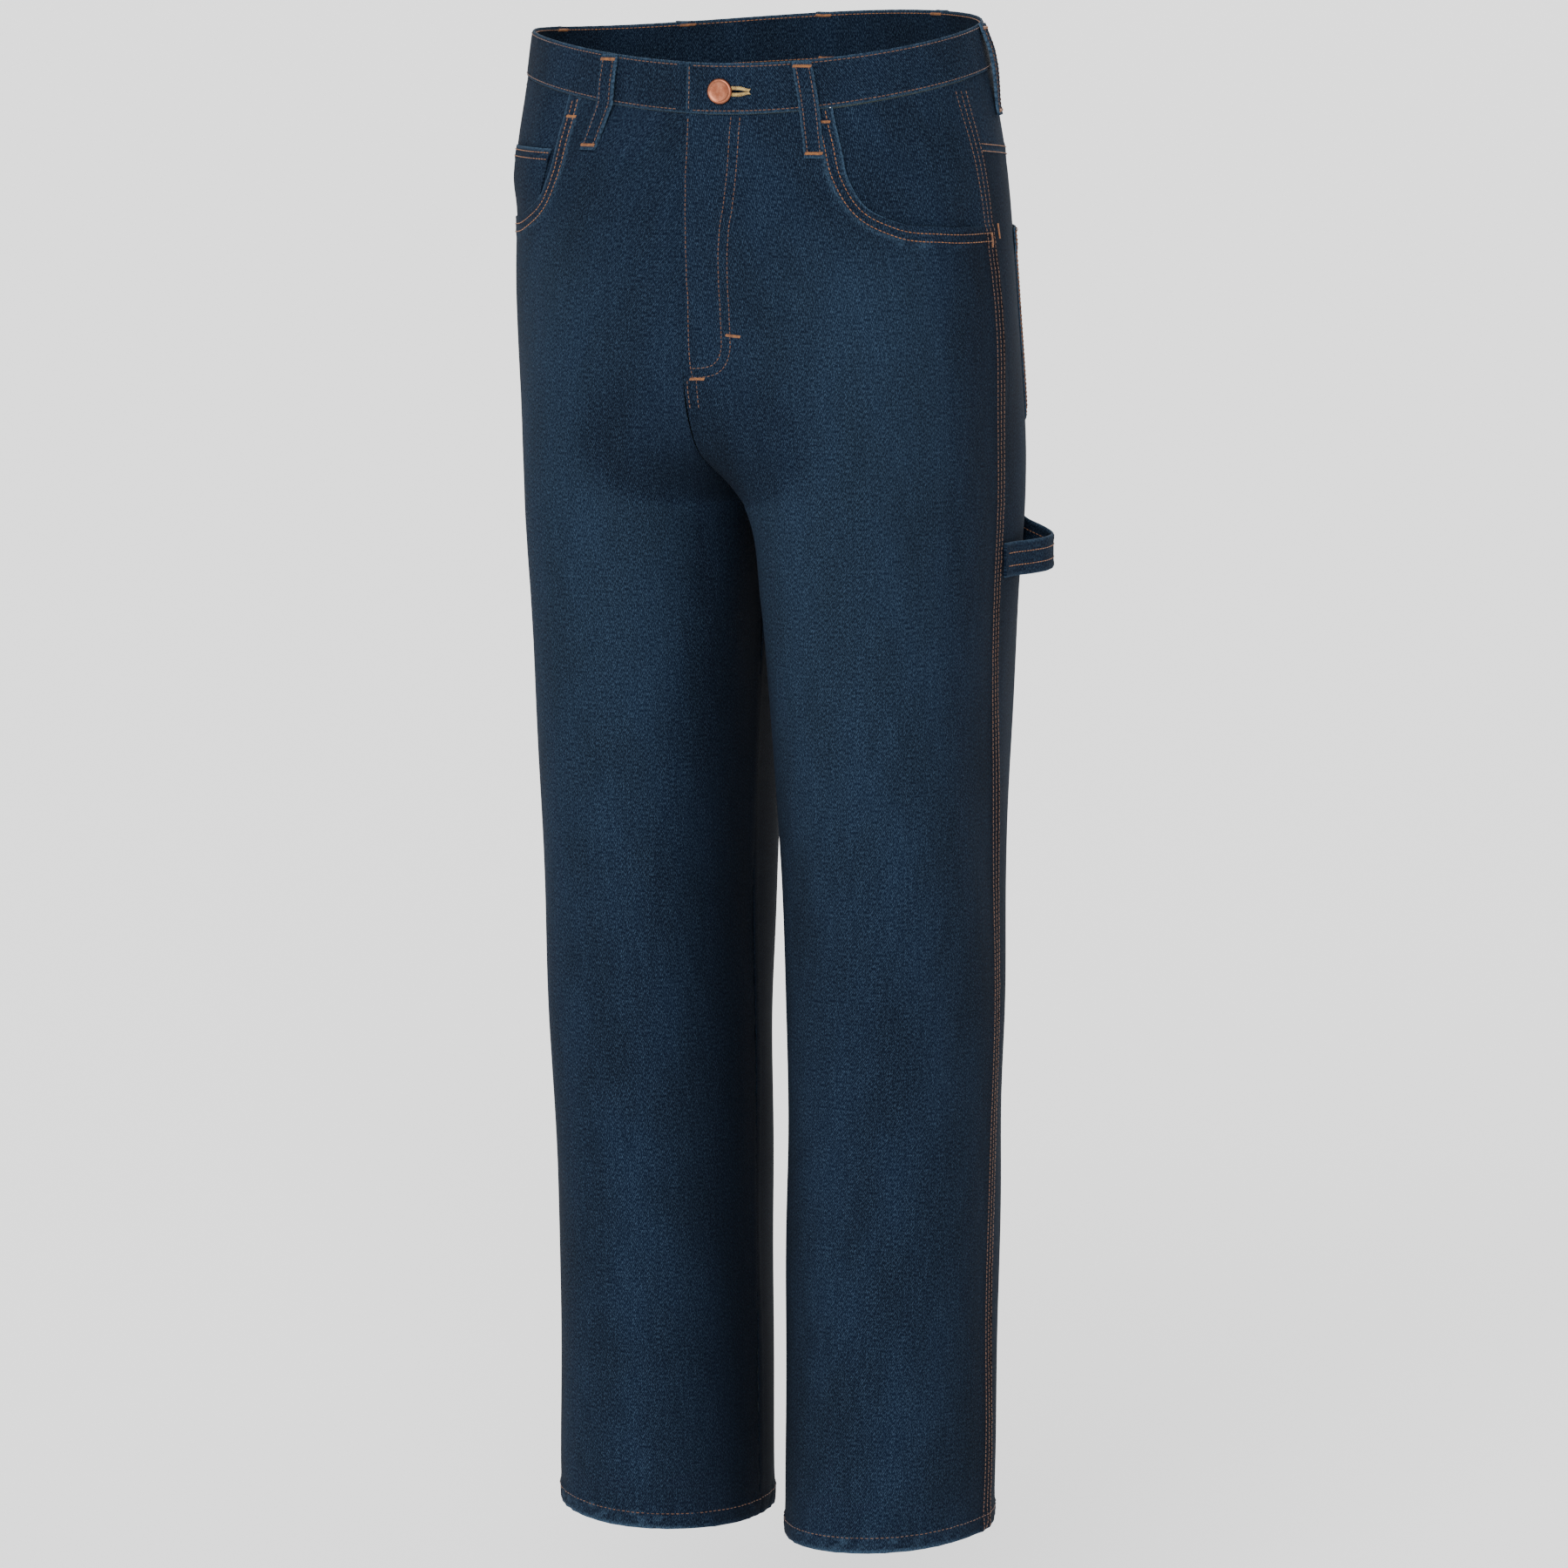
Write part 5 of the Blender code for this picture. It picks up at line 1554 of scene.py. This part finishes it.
def loop_lines(name):
    outer, _, _, across = belt_loop_grid(name, LOOP_SEWN_ROWS, LOOP_GRID[1])
    lines = []
    for at in LOOP_STITCHES:
        points = np.stack([[np.interp(at, across, row[:, k]) for k in range(3)] for row in outer])
        near = int(np.argmin(np.abs(across - at)))
        step = unit(outer[:, near + 1] - outer[:, near - 1])
        way = unit(np.cross(step, unit(np.gradient(points, axis=0))))
        way *= np.sign((way * (points - BODY_MIDDLE)).sum(-1, keepdims=True))
        lines.append(sewn_line(points[3:-3], way[3:-3]))
    return lines


def loop_tacks(name):
    """Bartacks across a loop's top and its foot."""
    outer = belt_loop_grid(name, LOOP_SEWN_ROWS, LOOP_GRID[1])[0]
    middle = LOOP_GRID[1] // 2
    tacks = []
    for row in (3, -4):
        points = outer[row, 1:-1]
        up = unit(outer[row + 1, middle] - outer[row - 1, middle])
        way = np.cross(unit(points[-1] - points[0]), up)
        way = way * np.sign(way @ (points[middle] - BODY_MIDDLE))
        tacks.append(bartack(points, np.broadcast_to(way, points.shape), 0.0022))
    return tacks


def inner_tacks():
    """Marks of the loops' bartacks on the band's inner face."""
    tacks = []
    for face, side, at_rim, at_seam, _ in LOOPS.values():
        for up, middle in ((0.93, at_rim), (0.06, at_seam)):
            distance = middle + np.linspace(-0.0055, 0.0055, 12)
            share = share_from_rise(0.0, np.abs(distance), face)
            height = band_height(share, face, side, "", up)
            out = band_out(share, face, side, "", np.full(12, up)) - BAND_WALL
            spot, way = seated(height, share, face, side, out)
            mirrored, mirrored_way = seated(height, share, face, -side, out)
            spot = np.where(distance[:, None] < 0, mirrored, spot)
            way = np.where(distance[:, None] < 0, mirrored_way, way)
            tacks.append(bartack(spot, -way, 0.0020))
    return tacks


def surface_tack(distance, height, face, side, dx, dz, out=0.0, from_rise=False):
    """A bartack on a panel, centred at a place, that runs dx along the cloth and dz up."""
    t = np.linspace(-0.5, 0.5, 10)
    x, z = distance + dx * t, height + dz * t
    share = (share_from_rise if from_rise else share_from_side)(z, x, face)
    out = out + panel_out(z, share, face, side)
    return bartack(*seated(z, share, face, side, out), TACK_WIDTH)


def patch_tacks(near, far, height, side, hem, from_rise):
    """Bartacks at the two top corners of a patch pocket."""
    out = PATCH_GAP + PATCH_WALL + hem
    return [
        surface_tack(at, height, BACK, side, PATCH_TACK_RUN, 0.0, out, from_rise)
        for at in (near + PATCH_TACK_INSET, far - PATCH_TACK_INSET)
    ]


def panel_tacks():
    tacks = []
    for side in (LEFT, RIGHT):
        for distance, height, face, dx, dz in SIDE_TACKS:
            tacks.append(surface_tack(distance, height, face, side, dx, dz))
        tacks += patch_tacks(BACK_POCKET[3], BACK_POCKET[4], BACK_POCKET[0] - 0.0015, side, 0.0008, True)
    for distance, height, dx, dz in FLY_TACKS:
        tacks.append(surface_tack(distance, height, FRONT, LEFT, dx, dz, from_rise=True))
    return tacks + patch_tacks(*TOOL_POCKET[2:], TOOL_POCKET[0] - 0.0018, RIGHT, TOOL_HEM, False)


def strap_lines():
    outer, inner = strap_grid(120, STRAP_COLUMNS)[:2]
    lines = []
    for grid, other in ((outer, inner), (inner, outer)):
        for column in STRAP_STITCH_COLUMNS:
            way = unit(grid[:, column] - other[:, column])
            lines.append(sewn_line(grid[4:-4, column], way[4:-4]))
    return lines


def strap_tacks():
    outer, inner = strap_grid(120, STRAP_COLUMNS)[:2]
    way = unit(outer - inner)
    return [bartack(outer[row, 1:-1], way[row, 1:-1], 0.0020) for row in (-5, -13)]


def buttonhole_threads():
    """Two slanted rows that close to a point at the far end, and a bar at the near end."""
    middle, level, ahead = (np.array(v) for v in slot_frame())
    upward = np.cross(ahead, level)
    upward = upward * np.sign(upward[2])
    face = middle + ahead * (BAND_PROUD + END_LIFT + 0.0002)
    end, high, lean = SLOT_LENGTH / 2, SLOT_HEIGHT / 2, 0.0006
    ends = []
    for way in (1, -1):
        for along in np.arange(-end - 0.0005, end + 0.0035, TACK_SPACING):
            closing = smooth(end - 0.0045, end + 0.0032, along)
            near = high * (1 - closing) + 0.0001
            far = near + SLOT_THREAD * (1 - 0.30 * closing) * (1 + 0.15 * math.sin(along * 9000))
            a = face + level * (along - lean) + upward * way * near
            b = face + level * (along + lean) + upward * way * far
            ends.append((a, b))
    for up in np.arange(-high - 0.0022, high + 0.0022, TACK_SPACING):
        start = face + upward * up
        ends.append((start - level * (end + 0.0022), start - level * (end - 0.0002)))
    return np.array(ends), np.broadcast_to(ahead, (len(ends), 3))


# Looks


class Look:
    """A material, and short ways to add nodes to it."""

    def __init__(self, name):
        self.material = bpy.data.materials.new(name)
        self.material.use_nodes = True
        self.tree = self.material.node_tree
        self.shader = self.tree.nodes["Principled BSDF"]

    def put(self, node, **values):
        """Sets or links inputs, where a name's underscores stand for spaces."""
        for name, value in values.items():
            self.join(node.inputs[name.replace("_", " ")], value)

    def join(self, socket, value):
        if isinstance(value, bpy.types.NodeSocket):
            self.tree.links.new(value, socket)
        else:
            socket.default_value = value

    def add(self, kind, **settings):
        node = self.tree.nodes.new(kind)
        for name, value in settings.items():
            setattr(node, name, value)
        return node

    def calc(self, operation, *values, clamp=False):
        node = self.add("ShaderNodeMath", operation=operation, use_clamp=clamp)
        for socket, value in zip(node.inputs, values):
            self.join(socket, value)
        return node.outputs[0]

    def mix(self, amount, first, second):
        node = self.add("ShaderNodeMix", data_type="RGBA")
        sockets = {socket.identifier: socket for socket in node.inputs}
        for name, value in (("Factor_Float", amount), ("A_Color", first), ("B_Color", second)):
            self.join(sockets[name], value)
        return next(s for s in node.outputs if s.identifier == "Result_Color")

    def noise(self, vector, scale, detail=3.0, roughness=0.55):
        node = self.add("ShaderNodeTexNoise")
        self.put(node, Vector=vector, Scale=scale, Detail=detail, Roughness=roughness)
        return node.outputs["Fac"]

    def stretched(self, vector, across, along, shift=0.0):
        node = self.add("ShaderNodeMapping")
        place_at = (shift, 0.37 * shift, 0.0)
        self.put(node, Vector=vector, Scale=(across, along, 1.0), Location=place_at)
        return node.outputs["Vector"]

    def between(self, value, low, high, to_low=0.0, to_high=1.0):
        node = self.add("ShaderNodeMapRange", interpolation_type="SMOOTHSTEP")
        self.put(node, Value=value, From_Min=low, From_Max=high, To_Min=to_low, To_Max=to_high)
        return node.outputs["Result"]


def denim(name, deep, lit, pale, worn, turned=False):
    """Twill that runs up to the right, with slubs along the warp, specks of undyed weft, worn edges,
    painted light on the thighs, and painted shade at the sides and inseams.
    """
    look = Look(name)
    vector = look.add("ShaderNodeUVMap", uv_map="UVMap").outputs["UV"]
    if turned:
        turn = look.add("ShaderNodeMapping")
        look.put(turn, Vector=vector, Rotation=(0, 0, math.pi / 2))
        vector = turn.outputs["Vector"]
    parts = look.add("ShaderNodeSeparateXYZ")
    look.join(parts.inputs[0], vector)
    drift = look.noise(look.stretched(vector, 160.0, 60.0), 1.0, 2.0)
    lean = look.calc("MULTIPLY", parts.outputs["Y"], TWILL_SLOPE)
    slant = look.calc("SUBTRACT", parts.outputs["X"], lean)
    turns = look.calc("MULTIPLY", slant, 2 * math.pi / TWILL_PITCH)
    shifted = look.calc("ADD", turns, look.calc("MULTIPLY", drift, 3.0))
    twill = look.calc("MULTIPLY_ADD", look.calc("SINE", shifted), 0.5, 0.5)
    slub = look.noise(look.stretched(vector, 420.0, 30.0, 1.0), 1.0, 3.0, 0.6)
    speck = look.noise(look.stretched(vector, 1150.0, 520.0, 2.0), 1.0, 2.0, 0.6)
    patch = look.noise(look.stretched(vector, 22.0, 9.0, 3.0), 1.0, 4.0)
    # Colour
    base = look.mix(look.between(patch, 0.30, 0.72), deep, lit)
    rows = look.between(twill, 0.20, 0.90, 0.35, 1.0)
    dash = look.calc("MULTIPLY", rows, look.between(speck, 0.40, 0.66, 0.04, 1.0))
    uneven = look.between(slub, 0.35, 0.70, 0.62, 1.0)
    vary = look.calc("MULTIPLY", uneven, look.between(patch, 0.30, 0.72, 0.78, 1.0))
    base = look.mix(look.calc("MULTIPLY", dash, vary), base, pale)
    # The wear value pales the cloth towards WORN where it is rubbed, and on the thighs as painted light;
    # below zero it darkens it towards DARK, mostly as painted shade at the sides and inseams
    wear_and_painted_light_and_shade = look.add("ShaderNodeAttribute", attribute_name="wear_and_painted_light_and_shade").outputs["Fac"]
    broken = look.between(speck, 0.30, 0.62, 0.25, 1.0)
    base = look.mix(look.calc("MULTIPLY", wear_and_painted_light_and_shade, broken, clamp=True), base, worn)
    base = look.mix(look.calc("MULTIPLY", wear_and_painted_light_and_shade, -1.0, clamp=True), base, DARK)
    # Relief
    grain = look.calc("ADD", look.calc("MULTIPLY", twill, 0.55), slub)
    grain = look.calc("ADD", grain, look.calc("MULTIPLY", speck, 0.8))
    bump = look.add("ShaderNodeBump")
    look.put(bump, Strength=0.55, Distance=0.00035, Height=grain)
    look.put(look.shader, Base_Color=base, Normal=bump.outputs["Normal"], Roughness=0.92)
    look.put(look.shader, Specular_IOR_Level=0.05, Sheen_Weight=0.006, Sheen_Roughness=0.55)
    look.put(look.shader, Sheen_Tint=SHEEN_TINT)
    return look.material


def thread_look(name, colour, dark):
    look = Look(name)
    grain = look.noise(look.add("ShaderNodeTexCoord").outputs["Object"], 420.0, 2.0)
    base = look.mix(look.between(grain, 0.3, 0.7), dark, colour)
    look.put(look.shader, Base_Color=base, Roughness=0.7, Specular_IOR_Level=0.3, Sheen_Weight=0.15)
    return look.material


def copper_look():
    look = Look("copper")
    grain = look.noise(look.add("ShaderNodeTexCoord").outputs["Object"], 260.0, 4.0)
    base = look.mix(look.between(grain, 0.3, 0.75), COPPER_DARK, COPPER)
    rough = look.between(grain, 0.2, 0.8, 0.28, 0.48)
    look.put(look.shader, Base_Color=base, Roughness=rough, Metallic=1.0)
    return look.material


# Setting


def direction(azimuth, elevation):
    """Away from the part, turned from its front towards the wearer's left, and up, both in degrees."""
    turn, rise = math.radians(azimuth), math.radians(elevation)
    return Vector((math.sin(turn) * math.cos(rise), -math.cos(turn) * math.cos(rise), math.sin(rise)))


def facing_in(name, data, away):
    """An object in the scene that looks against a direction."""
    obj = bpy.data.objects.new(name, data)
    obj.rotation_mode = "QUATERNION"
    obj.rotation_quaternion = (-away).to_track_quat("-Z", "Y")
    bpy.context.scene.collection.objects.link(obj)
    return obj


def camera():
    data = bpy.data.cameras.new("camera")
    data.lens = CAMERA_LENS
    data.sensor_width = 36.0
    data.clip_end = 1000.0
    obj = facing_in("camera", data, direction(CAMERA_AZIMUTH, CAMERA_PITCH))
    back, right = direction(CAMERA_AZIMUTH, 0), direction(CAMERA_AZIMUTH + 90, 0)
    obj.location = back * CAMERA_DISTANCE + right * CAMERA_ASIDE + Vector((0, 0, CAMERA_HEIGHT))
    bpy.context.scene.camera = obj


def lamp(name, azimuth, elevation, softness, strength):
    """A broad even light from far away, which falls on the floor alike everywhere."""
    data = bpy.data.lights.new(name, "SUN")
    data.energy = strength
    data.angle = math.radians(softness)
    facing_in(name, data, direction(azimuth, elevation))


def studio():
    world = bpy.data.worlds.new("studio")
    bpy.context.scene.world = world
    world.use_nodes = True
    backdrop = world.node_tree.nodes["Background"]
    backdrop.inputs["Color"].default_value = (1.0, 1.0, 1.0, 1.0)
    backdrop.inputs["Strength"].default_value = WORLD_STRENGTH
    for values in LAMPS:
        lamp(*values)
    mesh = bpy.data.meshes.new("floor")
    ways = ((-1, -1), (1, -1), (1, 1), (-1, 1))
    corners = [(x * FLOOR_REACH, y * FLOOR_REACH, FLOOR_HEIGHT) for x, y in ways]
    mesh.from_pydata(corners, [], [(0, 1, 2, 3)])
    look = Look("floor")
    look.put(look.shader, Base_Color=FLOOR_COLOUR, Roughness=0.95)
    mesh.materials.append(look.material)
    floor = bpy.data.objects.new("floor", mesh)
    bpy.context.scene.collection.objects.link(floor)


def dress(looks):
    """Every piece of cloth on its node, and the pieces sewn on it."""
    face, reverse, band, rust, orange, pale, copper = looks
    cloth, band_cloth = (face, reverse), (band, band)
    made = {}
    for side, name in SIDE_NAMES.items():
        made["front_panel_" + name] = front_panel(side, cloth)
        made["back_panel_" + name] = back_panel(side, cloth)
        made["yoke_" + name] = yoke(side, cloth)
        made["pocket_facing_" + name] = pocket_facing(side, cloth)
        made["back_pocket_" + name] = back_pocket(side, cloth)
    made["watch_pocket"] = watch_pocket(cloth)
    made["tool_pocket"] = tool_pocket(cloth)
    made["waistband"] = waistband(band_cloth)
    made["hammer_loop"] = hammer_loop(band_cloth)
    for name in LOOPS:
        made[name] = belt_loop(name, cloth)
    for node, piece in made.items():
        finish_piece(piece, "denim", node)
    finish_piece(button(copper), "button_metal", "button")
    sewn = sewing(rust, orange, pale)


def sewing(rust, orange, pale):
    """The threads, as one piece for each region."""
    sewn = {}
    for side, name in SIDE_NAMES.items():
        sewn["side_seam_" + name] = sew("side_seam_threads_" + name, side_seam_lines(side), rust)
        sewn["scoop_" + name] = sew("scoop_threads_" + name, scoop_lines(side), orange)
        sewn["yoke_" + name] = sew("yoke_threads_" + name, yoke_lines(side), orange)
        sewn["hem_" + name] = sew("hem_threads_" + name, hem_lines(side), rust)
        sewn["back_pocket_" + name] = sew("back_pocket_threads_" + name, back_pocket_lines(side), orange)
    sewn["fly"] = sew("fly_threads", fly_lines(), rust)
    sewn["centre_back"] = sew("centre_back_threads", centre_back_lines(), orange)
    sewn["watch"] = sew("watch_pocket_threads", watch_lines(), orange)
    sewn["tool"] = sew("tool_pocket_threads", tool_pocket_lines(), orange)
    sewn["band"] = sew("band_threads", band_lines(False) + [band_end_line()], rust)
    sewn["band_inside"] = sew("band_inner_threads", band_lines(True), orange)
    sewn["strap"] = sew("hammer_loop_threads", strap_lines(), orange)
    loops = [line for name in LOOPS for line in loop_lines(name)]
    sewn["loops"] = sew("belt_loop_threads", loops, rust)
    tacks = [line for name in LOOPS for line in loop_tacks(name)]
    tacks += panel_tacks() + strap_tacks() + inner_tacks()
    sewn["tacks"] = sew("bartacks", tacks, orange, TACK_RADIUS, TACK_LIFT)
    sewn["buttonhole"] = sew("buttonhole_threads", [buttonhole_threads()], pale, TACK_RADIUS, TACK_LIFT)
    return sewn


def main():
    camera()
    studio()
    looks = (
        denim("denim", DEEP, LIT, PALE, WORN),
        denim("denim_reverse", REVERSE_DEEP, REVERSE_LIT, REVERSE_PALE, WORN),
        denim("denim_band", DEEP, LIT, PALE, WORN, turned=True),
        thread_look("rust_thread", RUST, RUST_DARK),
        thread_look("orange_thread", ORANGE, ORANGE_DARK),
        thread_look("pale_thread", PALE_THREAD, PALE_THREAD_DARK),
        copper_look(),
    )
    dress(looks)


main()
